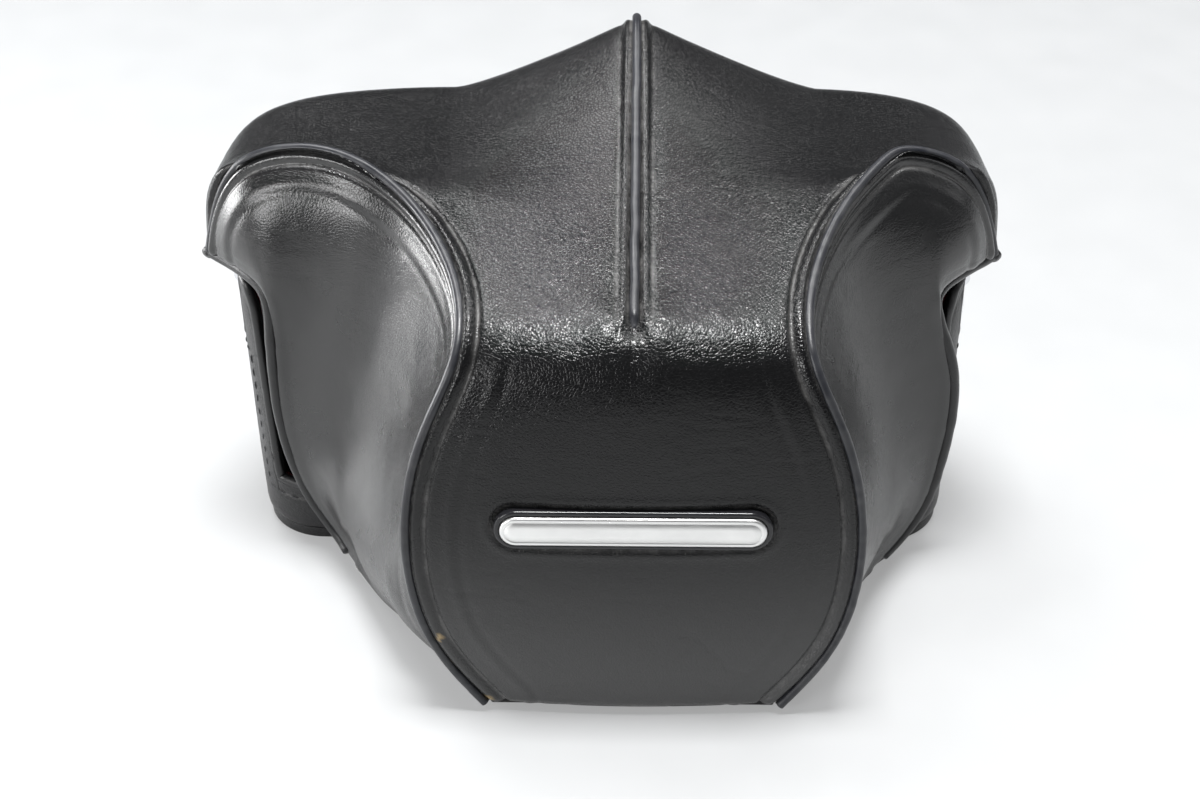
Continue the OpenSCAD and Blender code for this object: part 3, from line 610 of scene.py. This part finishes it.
def centre_half(k, t, a):
    """Points of the centre panel at rows t and across positions a from 0 (middle) to 1 (seam)."""
    xe = REACH[k]
    s = np.where((t < 4)[:, None], bs(free_points(xe), np.minimum(t, 4)),
                 bs(seam_points(xe), np.maximum(t - 4, 0)))
    m, z0 = bs(MIDDLE, t), bs(SHOULDER, t)[:, 0]
    n = (5 + (2.2 - 5)*np.clip((t - 8)/6, 0, 1))[:, None]
    a = a[None]
    drop = np.clip(1 - a**n, 0, 1)**(1/n)
    x = s[:, :1]*a
    ridge = np.clip(1 - x/34, 0, 1)**1.25
    box = s[:, 1:2] + (m[:, :1] - s[:, 1:2])*drop
    bow = s[:, 1:2] + (m[:, :1] - s[:, 1:2])*(1 - a*a)
    y = box + (bow - box)*np.clip((t - 3)/3, 0, 1)[:, None]
    z0, sz = z0[:, None], s[:, 2:3]
    foot = np.minimum(sz, z0)
    z = foot + (z0 - foot)*drop + np.maximum(sz - z0, 0)*a**6 + (m[:, 1:2] - z0)*ridge
    return flip(stack(x, y, z), k)


def centre_base(t, a):
    """Whole centre panel; a runs from -1 at the left seam to 1 at the right one."""
    left = centre_half(0, t, -a[a < 0])
    right = centre_half(1, t, a[a >= 0])
    return np.concatenate([left, right], 1)


def centre_rows(t, near=12, mid=60, edge=18):
    """Centre panel with columns crowded at the dart and at both seams."""
    halves = []
    for k in (0, 1):
        g = centre_half(k, t, 1 - (1 - np.linspace(0, 1, 500))**2.2)
        out = np.empty((len(t), near + mid + edge + 1, 3))
        for i, row in enumerate(g):
            s = np.r_[0, np.cumsum(np.linalg.norm(np.diff(row, axis=0), axis=1))]
            at = np.r_[np.linspace(0, 4, near, endpoint=False),
                       np.linspace(4, s[-1] - 5.4, mid, endpoint=False),
                       np.linspace(s[-1] - 5.4, s[-1], edge + 1)]
            for c in range(3):
                out[i, :, c] = np.interp(at, s, row[:, c])
        halves.append(out)
    return np.concatenate([halves[0][:, :0:-1], halves[1]], 1)


def steady_normals(g, rim):
    """Grid normals with the outermost columns taken from a little way in."""
    n = grid_normals(g)
    n[:, :rim] = n[:, rim:rim + 1]
    n[:, -rim:] = n[:, -rim - 1:-rim]
    m = n.copy()
    for k in range(1, 4):                   # even out along the rows
        m[k:] += n[:-k]
        m[:-k] += n[k:]
    return m/np.maximum(np.linalg.norm(m, axis=-1, keepdims=True), 1e-9)


def side_base(k, t, u):
    s = bs(seam_points(REACH[k]), t)[:, None]
    e = bs(side_points(k), t)[:, None]
    d = bs(DISH, t)[:, :1, None]
    u = u[None, :, None]
    return flip(s + (e - s)*u + 4*u*(1 - u)*d*np.array([-.5, .85, 0]), k)


def creases(p, stretch, seed, width):
    """Thin crease lines: the zero lines of a stretched noise."""
    return np.exp(-(noise(p*np.asarray(stretch), seed)/width)**2)


def centre_relief(g, t, seams):
    """Height of the leather above the plain surface, its dust and its wear."""
    x, y, z = g[..., 0], g[..., 1], g[..., 2]
    d = nearest(g, seams)
    rows = t[:, None]*np.ones_like(x)
    fade = smooth(rows, 4.0, 4.6)
    on_nose = smooth(rows, 10.5, 12.5)
    h = fade*(0.55*bump(d, 1.7, .8) - 0.45*bump(d, 3.25, .5) - 0.75*bump(d, 0, .6))
    h += 0.16*bump(d, 7.6, 1.0)*on_nose - 0.12*bump(d, 9.2, .8)*on_nose
    ragged = .5 + .5*noise(g*.3, 42)
    dust = fade*ragged*(0.7*bump(d, .75, .3) + 0.6*bump(d, 3.25, .35))
    wear = fade*0.8*bump(d, 1.75, .7)
    # dart along the ridge
    dart = smooth(rows, .9, 1.3)*(1 - smooth(rows, 10.55, 10.85))
    ax = np.abs(x)
    h += dart*(0.32*bump(ax, 1.75, .55) - 1.0*bump(ax, 0, .9) - 0.14*bump(ax, 3.0, .5))
    dust += dart*ragged*(0.8*bump(ax, 1.1, .25) + 0.3*bump(ax, 3.0, .35))
    wear += dart*0.7*bump(ax, 1.75, .55)
    # gathered leather where the dart ends
    end = np.array([0, -54.2, 75.0])
    down = np.hypot(y - end[1], z - end[2])*np.where(y < end[1], 1, -1)
    r = np.sqrt(x*x + (y - end[1])**2 + (z - end[2])**2)
    ang = np.arctan2(x, down + 3.0)
    pucker = creases(stack(ang*5.2, r*.09, 0*r), (1, 1, 1), 5, .3)
    h -= 0.13*(pucker*smooth(r, 1.0, 3)*np.exp(-(r/8.5)**2))
    h += 0.55*np.exp(-((ax - 4.2)/3.4)**2 - ((r - ax)/5)**2)*smooth(rows, 9, 10.5)*bump(rows, 10.9, .9)
    h -= 0.8*bump(r, 0, 1.7)
    # slack on the bend, creases across the nose front, soft waves everywhere
    bend = bump(rows, 11.6, 1.0)*smooth(d, 3.5, 8)
    h -= 0.045*bend*creases(g, (.3, .6, .6), 11, .12)
    h += 0.11*bend*fractal(g*np.array([.2, .3, .3]), 12)
    front = smooth(rows, 12.0, 13.0)*smooth(d, 3.5, 6)
    h -= front*0.10*creases(g, (.035, .2, .42), 21, .035)*smooth(noise(g*.07, 22), -.3, .3)
    h -= front*0.07*creases(g, (.08, .3, .9), 23, .05)*smooth(noise(g*.09, 24), 0, .4)
    h += front*0.10*fractal(g*.07, 25)
    hood = 1 - smooth(rows, 10.5, 11.5)
    h += hood*smooth(d, 3, 7)*0.16*fractal(g*np.array([.05, .075, .075]), 31, 2)
    h -= hood*smooth(d, 3, 7)*smooth(ax, 4, 9)*0.03*creases(g, (.14, .2, .2), 33, .06)
    # pressed bed of the badge
    bed = np.hypot(np.maximum(ax - BADGE_HALF, 0), z - BADGE_Z)
    near_badge = smooth(rows, 12, 12.6)
    h -= near_badge*(0.55*(1 - smooth(bed, 3.9, 4.9)) - 0.18*bump(bed, 5.5, .7))
    dust += near_badge*0.3*bump(bed, 4.3, .35)
    chip = near_badge*0
    # chips in the finish: across, height, size
    for cx, cz, cr in ((-33.6, 17.0, .8), (-25.6, 2.6, .9), (35.9, 47.0, .45), (-32.0, 11.5, .35)):
        q = np.hypot(x - cx, z - cz) + 0.35*noise(g*2.2, 41)
        chip = np.maximum(chip, smooth(rows, 12, 12.5)*(1 - smooth(q, cr*.5, cr)))
    # soft rounded lower edge
    low = smooth(z, 3.2, 1.0)*smooth(rows, 15, 16)
    h -= 0.8*low*low + 0.6*np.clip((20 - z)/20, 0, 1)**2*smooth(rows, 13, 14)
    return h, np.clip(dust, 0, 1), np.clip(wear, 0, 1), chip


t_rows = np.linspace(0, LAST, 420)
g0 = centre_rows(t_rows)
seams = np.vstack([seam_path(k, np.linspace(0, 13, 420)) for k in (0, 1)])
relief, dust, wear, chip = centre_relief(g0, t_rows, seams)
centre_n = steady_normals(g0, 5)
centre = g0 + centre_n*relief[..., None]
# painted floor bounce: the nose front is greyed towards its bottom, in place of light reflected up from the
# floor
painted_floor_bounce = .3*(1 - smooth(g0[..., 2], 2, 48))*smooth(t_rows, 12.2, 14)[:, None]
skive = .4 + (LEATHER - .4)*smooth(nearest(g0, np.vstack([centre[:, 0], centre[:, -1]])), .3, 3.5)
panel = solid_sheet("centre_panel_leather", centre, skive, L_COVER, COVER,
                    {"dust": dust, "wear": wear, "chip": chip, "painted_floor_bounce": painted_floor_bounce}, centre_n)
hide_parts("cover_centre_panel")

# ---------------------------------------------------------------- side panels
for k, word in ((0, "left"), (1, "right")):
    t = np.linspace(0.02, 12.98, 300)
    u = np.linspace(0, 1, 120)**1.35
    g = side_base(k, t, u)
    if k == 0:
        g = g[:, ::-1]
    d = nearest(g, seam_path(k, np.linspace(0, 13, 420)))
    e = nearest(g, flip(bs(side_points(k), np.linspace(0, 10.6, 260)), k))
    h = 0.38*bump(d, 1.65, .7) - 0.38*bump(d, 3.0, .5) - 0.7*bump(d, 0, .55)
    h += 0.14*bump(d, 6.5, 1.1) - 0.1*bump(d, 8.2, .8)
    h += 0.15*bump(e, 1.8, 1.0) - 0.3*bump(e, 0, .6)
    h += smooth(d, 2, 8)*0.35*fractal(g*.06, 51 + k)
    h += (3.4, 2.0)[k]*bump(g[..., 2], 15, 12)*smooth(d, 1, 14)*smooth(e, 1, 14)
    h -= smooth(d, 3, 6)*0.025*creases(g, (.05, .05, .2), 53 + k, .05)
    ragged = .5 + .5*noise(g*.3, 43)
    du = ragged*(0.8*bump(d, .7, .3) + 0.4*bump(d, 3.0, .35))
    we = 0.7*bump(d, 1.6, .7) + 0.5*bump(e, 1.5, .8)
    side_n = steady_normals(g, 4)
    side = g + side_n*h[..., None]
    skive = .4 + (LEATHER - .4)*smooth(d, .3, 3.5)*(.5 + .5*smooth(e, 0, 2))
    ob = solid_sheet(f"side_panel_{word}_leather", side, skive, L_SIDE, COVER,
                     {"dust": np.clip(du, 0, 1), "wear": np.clip(we, 0, 1), "chip": d*0}, side_n)
    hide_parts(f"cover_side_{word}")

# ---------------------------------------------------------------- piping, dart, bindings
for k, word in ((0, "left"), (1, "right")):
    ts = np.linspace(0.05, 12.97, 700)
    edge_n = grid_normals(centre_base(ts + 4, np.linspace(-1, 1, 201)))[:, 0 if k == 0 else -1]
    side_g = side_base(k, ts, np.linspace(0, 1, 41))
    side_n = grid_normals(side_g if k else side_g[:, ::-1])[:, 0 if k else -1]
    out = edge_n + side_n
    out /= np.linalg.norm(out, axis=1, keepdims=True)
    for c in range(3):                      # even out along the seam
        out[:, c] = np.convolve(np.pad(out[:, c], 20, "edge"), np.ones(41)/41, "valid")
    p = along(seam_path(k, ts) - out*.15, .45)
    r = .82 + .04*noise(p*.5, 61 + k)
    ob = tube(f"seam_piping_{word}_cord", p, r, L_CORD, COVER, 16,
              attrs={"dust": .25 + .25*noise(p*.8, 63)})
    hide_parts(f"seam_piping_{word}")

td = np.linspace(.9, 10.72, 700)
md = bs(MIDDLE, td)
dart_path = stack(np.zeros(len(td)), md[:, 0], md[:, 1])
dart_path[:, 0] += .12*noise(dart_path*.25, 71)
dart_path[:, 2] -= .25
dart_path[:, 2] -= smooth(td, 10.45, 10.72)
p = along(dart_path, .45)
ob = tube("dart_piping_cord", p, .84, L_CORD, COVER, 16, attrs={"dust": .2 + .2*noise(p*.9, 72)})
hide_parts("top_dart_piping")

for k, word in ((0, "left"), (1, "right")):
    te = np.linspace(0.02, 10.3, 700)
    p = along(flip(bs(side_points(k), te) + np.array([-.35, .85, 0]), k), .5)
    r = 1.28 + .07*noise(p*.35, 81 + k)
    ob = tube(f"edge_binding_{word}_roll", p, r, L_EDGE, COVER, 18, attrs={"dust": 0*p[:, 0],
              "wear": .5 + .4*noise(p*.4, 83), "chip": 0*p[:, 0]})
    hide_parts(f"edge_binding_{word}")

# rolled edge of the hood, from tip to tip round the back
back_edge = np.vstack([
    flip(bs(free_points(REACH[0]), np.linspace(4, 0, 60)), 0),
    centre_base(np.array([0.0]), np.concatenate([-np.linspace(1, 0, 160), np.linspace(0.01, 1, 160)]))[0],
    flip(bs(free_points(REACH[1]), np.linspace(0, 4, 60)), 1)])
p = along(back_edge + np.array([0, -.7, .5])*smooth(back_edge[:, 1:2], 0, 10), .6)
ob = tube("hood_edge_roll", p, 1.25 + .06*noise(p*.3, 91), L_EDGE, COVER, 16,
          attrs={"dust": 0*p[:, 0], "wear": .5 + .3*noise(p*.3, 92), "chip": 0*p[:, 0]})

# ---------------------------------------------------------------- velvet inside the cover
tl = np.linspace(.5, LAST - .5, 150)
wide = bs(seam_points(REACH[1]), np.maximum(tl - 4, 0))[:, 0]
w = smooth(tl, 5.4, 6.8)
reach = .86 + (26/wide - .86)*w
lin = np.vstack([centre_base(np.array([v]), np.linspace(-f, f, 101)) for v, f in zip(tl, reach)])
lin_n = grid_normals(lin)
lin = lin - lin_n*2.35
lin += (.05*noise(lin*.6, 95))[..., None]
ob = solid_sheet("cover_velvet_centre", lin, .55, VELVET, COVER, None, lin_n)
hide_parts("cover_lining")
for k, word in ((0, "left"), (1, "right")):
    s = side_base(k, np.linspace(4.6, 11.4, 80), np.linspace(.2, .88, 40))
    if k == 0:
        s = s[:, ::-1]
    s = s - grid_normals(s)*2.25
    ob = solid_sheet(f"cover_velvet_{word}", s, .5, VELVET, COVER)

# ---------------------------------------------------------------- badge: plain bright bar on a dark bed


def stadium(r, half_len, n=28):
    a = np.linspace(-math.pi/2, math.pi/2, n)
    right = stack(half_len + r*np.cos(a), r*np.sin(a))
    return np.vstack([right, -right])


def stadium_plate(name, rings, mat):
    """Rings of (radius, height) stacked into a plate on the nose, closed front and back."""
    tilt = math.radians(3.8)
    out = np.array([0, -math.cos(tilt), math.sin(tilt)])
    up = np.array([0, math.sin(tilt), math.cos(tilt)])
    base = np.array([0, -63.3, BADGE_Z])
    rows = []
    for r, h in rings:
        o = stadium(r, BADGE_HALF)
        rows.append(base + o[:, :1]*np.array([1, 0, 0]) + o[:, 1:]*up + out*h)
    m = len(rows[0])
    faces = grid_faces(len(rings), m, closed_cols=True).tolist()
    faces += [list(range(m)), [(len(rings) - 1)*m + j for j in range(m)][::-1]]
    ob = make_mesh(name, np.vstack(rows), faces, mat, COVER)
    fix_normals(ob)
    ob.data.polygons.foreach_set("use_smooth", [len(q.vertices) == 4 for q in ob.data.polygons])
    return ob


bed = stadium_plate("badge_bed", [(3.7, 0), (3.8, .3), (3.8, 1.45), (3.72, 1.68), (3.5, 1.8), (3.15, 1.8),
                                  (2.95, 1.7), (2.85, 1.35)], ENAMEL)
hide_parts("badge")
stadium_plate("badge_bar", [(2.8, 1.0), (2.8, 1.9), (2.72, 2.12), (2.5, 2.26), (2.05, 2.3), (1.98, 2.22),
                            (1.86, 2.22), (1.79, 2.3), (.6, 2.33)], BADGE_FIELD)

# ---------------------------------------------------------------- half case
X0, X1, YH, CORNER, WALL = -74.4, 61.4, 18.6, 13.0, 1.9
END_Y = [-40, -15.4, -15, -14.4, -13, -10.6, -9.9, 1.2, 1.21, 2.6, 4.4, 8, 13, 17, 19]
END_Z = [13, 13, 18, 52, 56.4, 57, 44.1, 44.1, 56, 59.6, 60.8, 62.2, 65, 67.2, 68.2]


def case_plan():
    """Stations round the half case from the front: point, outward normal and wall top."""
    def end(y, side):
        c = np.clip(y, -YH + CORNER, YH - CORNER)
        sn = (y - c)/CORNER
        cs = math.sqrt(max(1 - sn*sn, 0))
        edge = X1 - CORNER if side > 0 else X0 + CORNER
        pts.append((edge + side*CORNER*cs, y))
        nor.append((side*cs, sn))

    ys = np.unique(np.r_[np.linspace(-YH, YH, 90), np.linspace(-15.5, -14.3, 9), np.linspace(-10.7, -9.8, 6),
                         np.linspace(1.1, 1.3, 4)])
    xs = np.linspace(X0 + CORNER, X1 - CORNER, 110)
    pts, nor = [], []
    for x in xs:
        pts.append((x, -YH))
        nor.append((0, -1))
    for y in ys[1:-1]:
        end(y, 1)
    for x in xs[::-1]:
        pts.append((x, YH))
        nor.append((0, 1))
    for y in ys[1:-1][::-1]:
        end(y, -1)
    pts, nor = np.array(pts, float), np.array(nor, float)
    x, y = pts.T
    top = np.interp(y, END_Y, END_Z)
    lip = np.minimum(13, 37.5 - np.sqrt(np.clip(30.4**2 - x*x, 0, None)))
    inner = smooth(np.minimum(x - (X0 + 16), (X1 - 16) - x), 0, 9)
    back = 68.2 + 2.4*inner - 6.6*(1 - smooth(np.abs(x), 15.5, 20.5))
    top = np.where(y < -18.5, lip, np.where(y > 18.5, back, top))
    return pts, nor, top


cp, cn, ctop = case_plan()
levels = [(1.5, 0, 2.2), (.55, 0, 2.25), (.12, 0, 3.0), (0, 0, 4.2)]
levels += [(0, f, 4.2) for f in np.linspace(.03, 1, 46)]
wall_rows = []
for inset, f, z in levels:
    zz = z + (ctop - .9 - z)*f
    wall_rows.append(stack(cp[:, 0] - cn[:, 0]*inset, cp[:, 1] - cn[:, 1]*inset, zz))
for inset, dz in ((.12, -.45), (.5, -.1), (.95, 0), (1.4, -.1), (1.78, -.45), (WALL, -.9)):
    wall_rows.append(stack(cp[:, 0] - cn[:, 0]*inset, cp[:, 1] - cn[:, 1]*inset, ctop + dz))
for f in np.linspace(.9, 0, 8):
    wall_rows.append(stack(cp[:, 0] - cn[:, 0]*WALL, cp[:, 1] - cn[:, 1]*WALL, 2.2 + (ctop - .9 - 2.2)*f))
wall = np.array(wall_rows)
k_out = len(levels)
relief = .16*fractal(wall[:k_out]*.06, 101) - .05*creases(wall[:k_out], (.1, .1, .25), 102, .05)
edge_gap = ctop[None] - wall[:k_out, :, 2]
relief -= .14*bump(edge_gap, 3.4, .6)
relief *= smooth(wall[:k_out, :, 2], 3, 7)
wall[:k_out, :, :2] += cn[None]*relief[..., None]
wn, wm = wall.shape[:2]
dusty = np.zeros((wn, wm))
dusty[:k_out] = .35*bump(edge_gap, 3.4, .35)
worn = np.zeros((wn, wm))
worn[:k_out] = .6*bump(edge_gap, .9, 1.2) + .6*bump(wall[:k_out, :, 2], 3.2, 1.2)
ob = make_mesh("half_case_leather", wall.reshape(-1, 3), grid_faces(wn, wm, True, True), L_CASE, ROOT,
               {"dust": dusty, "wear": worn, "chip": dusty*0})
fix_normals(ob)
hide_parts("half_case_wall")

top_path = stack(cp[:, 0] - cn[:, 0]*.95, cp[:, 1] - cn[:, 1]*.95, ctop - .35)
loop = along(np.vstack([top_path, top_path[:1]]), .6)[:-1]
ob = tube("half_case_edge_roll", loop, 1.06 + .04*noise(loop*.4, 103), L_EDGE, ROOT, 12, closed=True,
          attrs={"dust": 0*loop[:, 0], "wear": .5 + .4*noise(loop*.3, 104), "chip": 0*loop[:, 0]})
fix_normals(ob)

# thread runs a fixed way in from the cut edge, stepping round the notches
s_at = np.r_[0, np.cumsum(np.linalg.norm(np.diff(cp, axis=0), axis=1))]
low_top = np.array([ctop[np.abs(s_at - v) < 3.2].min() for v in s_at]) - 3.4
for name, keep in (("front", cp[:, 1] < -18.5), ("back", cp[:, 1] > 18.5),
                   ("right", (np.abs(cp[:, 1]) <= 18.5) & (cp[:, 0] > 0)),
                   ("left", (np.abs(cp[:, 1]) <= 18.5) & (cp[:, 0] < 0))):
    line = stack(cp[:, 0] + cn[:, 0]*.02, cp[:, 1] + cn[:, 1]*.02, low_top)[keep]
    nn = stack(cn[:, 0], cn[:, 1], 0*low_top)[keep]
    dense = along(line, .4)
    s1 = np.r_[0, np.cumsum(np.linalg.norm(np.diff(line, axis=0), axis=1))]
    s2 = np.r_[0, np.cumsum(np.linalg.norm(np.diff(dense, axis=0), axis=1))]
    dn = np.stack([np.interp(s2, s1*s2[-1]/s1[-1], nn[:, c]) for c in range(3)], -1)
    ob = stitches(f"half_case_stitch_{name}", dense, dn, THREAD, ROOT, .15, lift=-.05)

# ---------------------------------------------------------------- rear flap, one strip across its fold
FLAP_Z = [46, 52, 57, 60.5, 66, 72.6, 78, 82.8, 85.6, 87.0]
FLAP_HALF = [29.4, 30, 30, 29.9, 29, 25.6, 20.6, 14.6, 10.0, 5.5]
FLAP_Y = [20.75, 20.8, 20.85, 22.2, 24.0, 25.75, 26, 26, 26, 25.95]
tt = np.linspace(0, 9, 150)
fz = bs(FLAP_Z, tt)[:, 0]
fh = bs(FLAP_HALF, tt)[:, 0]
fy = bs(FLAP_Y, tt)[:, 0]
ca = np.linspace(-1, 1, 141)
ca = np.sign(ca)*(1 - (1 - np.abs(ca))**1.3)
flap = stack(fh[:, None]*ca, fy[:, None] + 0*ca, fz[:, None] + 0*ca)[:, ::-1]
round_off = np.sqrt(np.clip(1 - (np.abs(ca[::-1])**3), 0, 1))
lift = smooth(fz, 84, 87)[:, None]*(1 - round_off)[None]*1.6
flap[..., 2] -= lift
corner = smooth(fz, 50, 46)[:, None]*smooth(np.abs(ca[::-1]), .86, 1)[None]
flap[..., 2] += 3.0*corner
fn = grid_normals(flap)
if fn[75, 70, 1] < 0:
    fn = -fn
rim = np.vstack([flap[:, 0], flap[:, -1], flap[-1], flap[0]])
fd = nearest(flap, rim)
fr = .12*fractal(flap*.09, 111) - .25*bump(fd, 0, .5) + .12*bump(fd, 1.0, .6) - .18*bump(fd, 2.7, .4)
fr -= .25*bump(flap[..., 2], 61.2, 1.1)*smooth(fd, .5, 2)
fr += .2*bump(np.hypot(flap[..., 0], flap[..., 2] - 81.6), 6.2, .8)
fr -= .5*(1 - smooth(np.hypot(flap[..., 0], flap[..., 2] - 81.6), 4.9, 5.8))
fr -= .05*creases(flap, (.2, .2, .4), 113, .06)
flap_face = flap + fn*fr[..., None]
ob = solid_sheet("rear_flap_leather", flap_face, 2.0, L_CASE, None,
                 {"dust": .35*bump(fd, 2.7, .3), "wear": .7*bump(fd, .7, .7) + .5*bump(flap[..., 2], 61, 2),
                  "chip": fd*0}, fn)
fix_normals(ob)
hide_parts("rear_flap", "flap_anchor")
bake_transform(ob)


def flap_line(inset, z_lo, z_hi, n=160):
    """Lines a fixed way inside the flap's edges: the left one going up, the right one down."""
    ts = np.linspace(np.interp(z_lo, fz, tt), np.interp(z_hi, fz, tt), n)
    z, half, y = bs(FLAP_Z, ts)[:, 0], bs(FLAP_HALF, ts)[:, 0] - inset, bs(FLAP_Y, ts)[:, 0]
    return stack(-half, y, z), stack(half, y, z)[::-1]


left, right = flap_line(2.7, 63.5, 84.6)
tip = stack(np.linspace(left[-1, 0], right[0, 0], 30)[1:-1], 26.0, left[-1, 2])
line = along(np.vstack([left, tip, right]), .4)
ob = stitches("flap_stitch", line, (0, 1, 0), THREAD, FLAP, .2, lift=-.05)
for row, z in enumerate((48.6, 55.4)):
    line = along([(-26.8, 20.72, z), (26.8, 20.72, z)], .4)
    ob = stitches(f"flap_anchor_stitch_{row + 1}", line, (0, 1, 0), THREAD, ROOT, .17)

cap = lathe("flap_snap_dome", [(0, 1.6), (1.2, 1.58), (2.4, 1.5), (3.4, 1.34), (4.2, 1.08), (4.65, .8),
                               (4.85, .62), (5.0, .48), (4.98, .3), (4.8, .18), (4.4, .1), (0, .1)],
            (0, 26, 81.6), (0, 1, 0), ENAMEL, FLAP, 72)
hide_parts("flap_snap_cap")
ob = lathe("flap_snap_socket", [(3.2, 0), (4.6, 0), (4.6, .45), (4.4, .6), (3.5, .6), (3.2, .45), (3.2, 0)],
           (0, 23.2, 81.6), (0, 1, 0), STEEL, FLAP, 64)

# ---------------------------------------------------------------- hinge strap under the fold
sy = np.linspace(-11.4, -31.6, 60)
sx = np.linspace(-33.9, 25.9, 90)
strap = stack(sx[None], sy[:, None], 1.13 + 0*sx[None])[:, ::-1]
sn = np.broadcast_to(np.array([0.0, 0, -1]), strap.shape)
strap_relief = .03*fractal(strap*.3, 121) - .12*bump(strap[..., 1], -21.5, .8)
strap = strap - np.array([0, 0, 1.0])*np.minimum(strap_relief, .02)[..., None]
blank = strap[..., 0]*0
ob = solid_sheet("hinge_strap_leather", strap, 1.0, L_CASE, None,
                 {"dust": blank, "wear": .8*bump(strap[..., 1], -21.5, 2.5), "chip": blank}, sn)
fix_normals(ob)
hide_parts("hinge_strap_rear", "hinge_strap_front")
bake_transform(ob)

# ---------------------------------------------------------------- floor and light


def floor_material():
    m = Nodes("table_white")
    fine = m.noise(60, 3)
    split = m.t.nodes.new("ShaderNodeSeparateXYZ")
    m.link(m.coord, split.inputs[0])
    # painted light falloff: the floor's colour darkens from the front towards the back
    depth = m.grey(split.outputs["Y"], -0.1, 0.0, 0.28, 1.0)
    tone = m.mix(depth, (0.31, 0.316, 0.32), (0.215, 0.222, 0.228))
    tone = m.mix(m.math("MULTIPLY", fine, 0.08), tone, (0.6, 0.6, 0.6))
    # the floor glows with emission strength 0.3: painted fill light that lifts the shadows on it
    return m.done(tone, m.grey(fine, 0.3, .35, .7, .45), None, Specular_IOR_Level=0.35,
                  Emission_Color=(1, 1, 1, 1), Emission_Strength=0.3)


FAR, BELOW = 3000.0, -.02
floor = make_mesh("floor", [(-FAR, -FAR, BELOW), (FAR, -FAR, BELOW), (FAR, FAR, BELOW), (-FAR, FAR, BELOW)],
                  [(0, 1, 2, 3)], floor_material(), None, shade=False)


def area_light(name, at, look, size, power):
    li = bpy.data.lights.new(name, "AREA")
    li.shape, li.size, li.size_y = "RECTANGLE", size[0], size[1]
    li.energy = power
    ob = bpy.data.objects.new(name, li)
    ob.location = Vector(at)
    ob.rotation_mode = "QUATERNION"
    ob.rotation_quaternion = (Vector(look) - Vector(at)).to_track_quat("-Z", "Y")
    bpy.context.scene.collection.objects.link(ob)


area_light("key_overhead", (0.0, 0.0, 0.95), (0, 0, 0.05), (0.3, 0.2), 13)
area_light("back_left", (-0.5, 0.6, 1.2), (0, 0, 0.05), (0.6, 0.8), 12)
area_light("front_left", (-0.9, -0.85, 0.5), (0, -0.05, 0.03), (0.5, 0.5), 7)
area_light("back_right", (0.5, 0.6, 1.2), (0, 0, 0.05), (0.6, 0.8), 6)
area_light("left_low", (-0.5, 0.1, 0.1), (-0.05, -0.02, 0.03), (0.3, 0.16), 2.2)
area_light("right_soft", (1.2, 0.2, 0.8), (0, 0, 0.02), (0.8, 0.8), 2)
world = bpy.data.worlds.new("world")
bpy.context.scene.world = world
world.use_nodes = True
world.node_tree.nodes["Background"].inputs[0].default_value = (0.95, 0.97, 1, 1)
world.node_tree.nodes["Background"].inputs[1].default_value = 0.16
bpy.context.scene.view_settings.view_transform = "Standard"
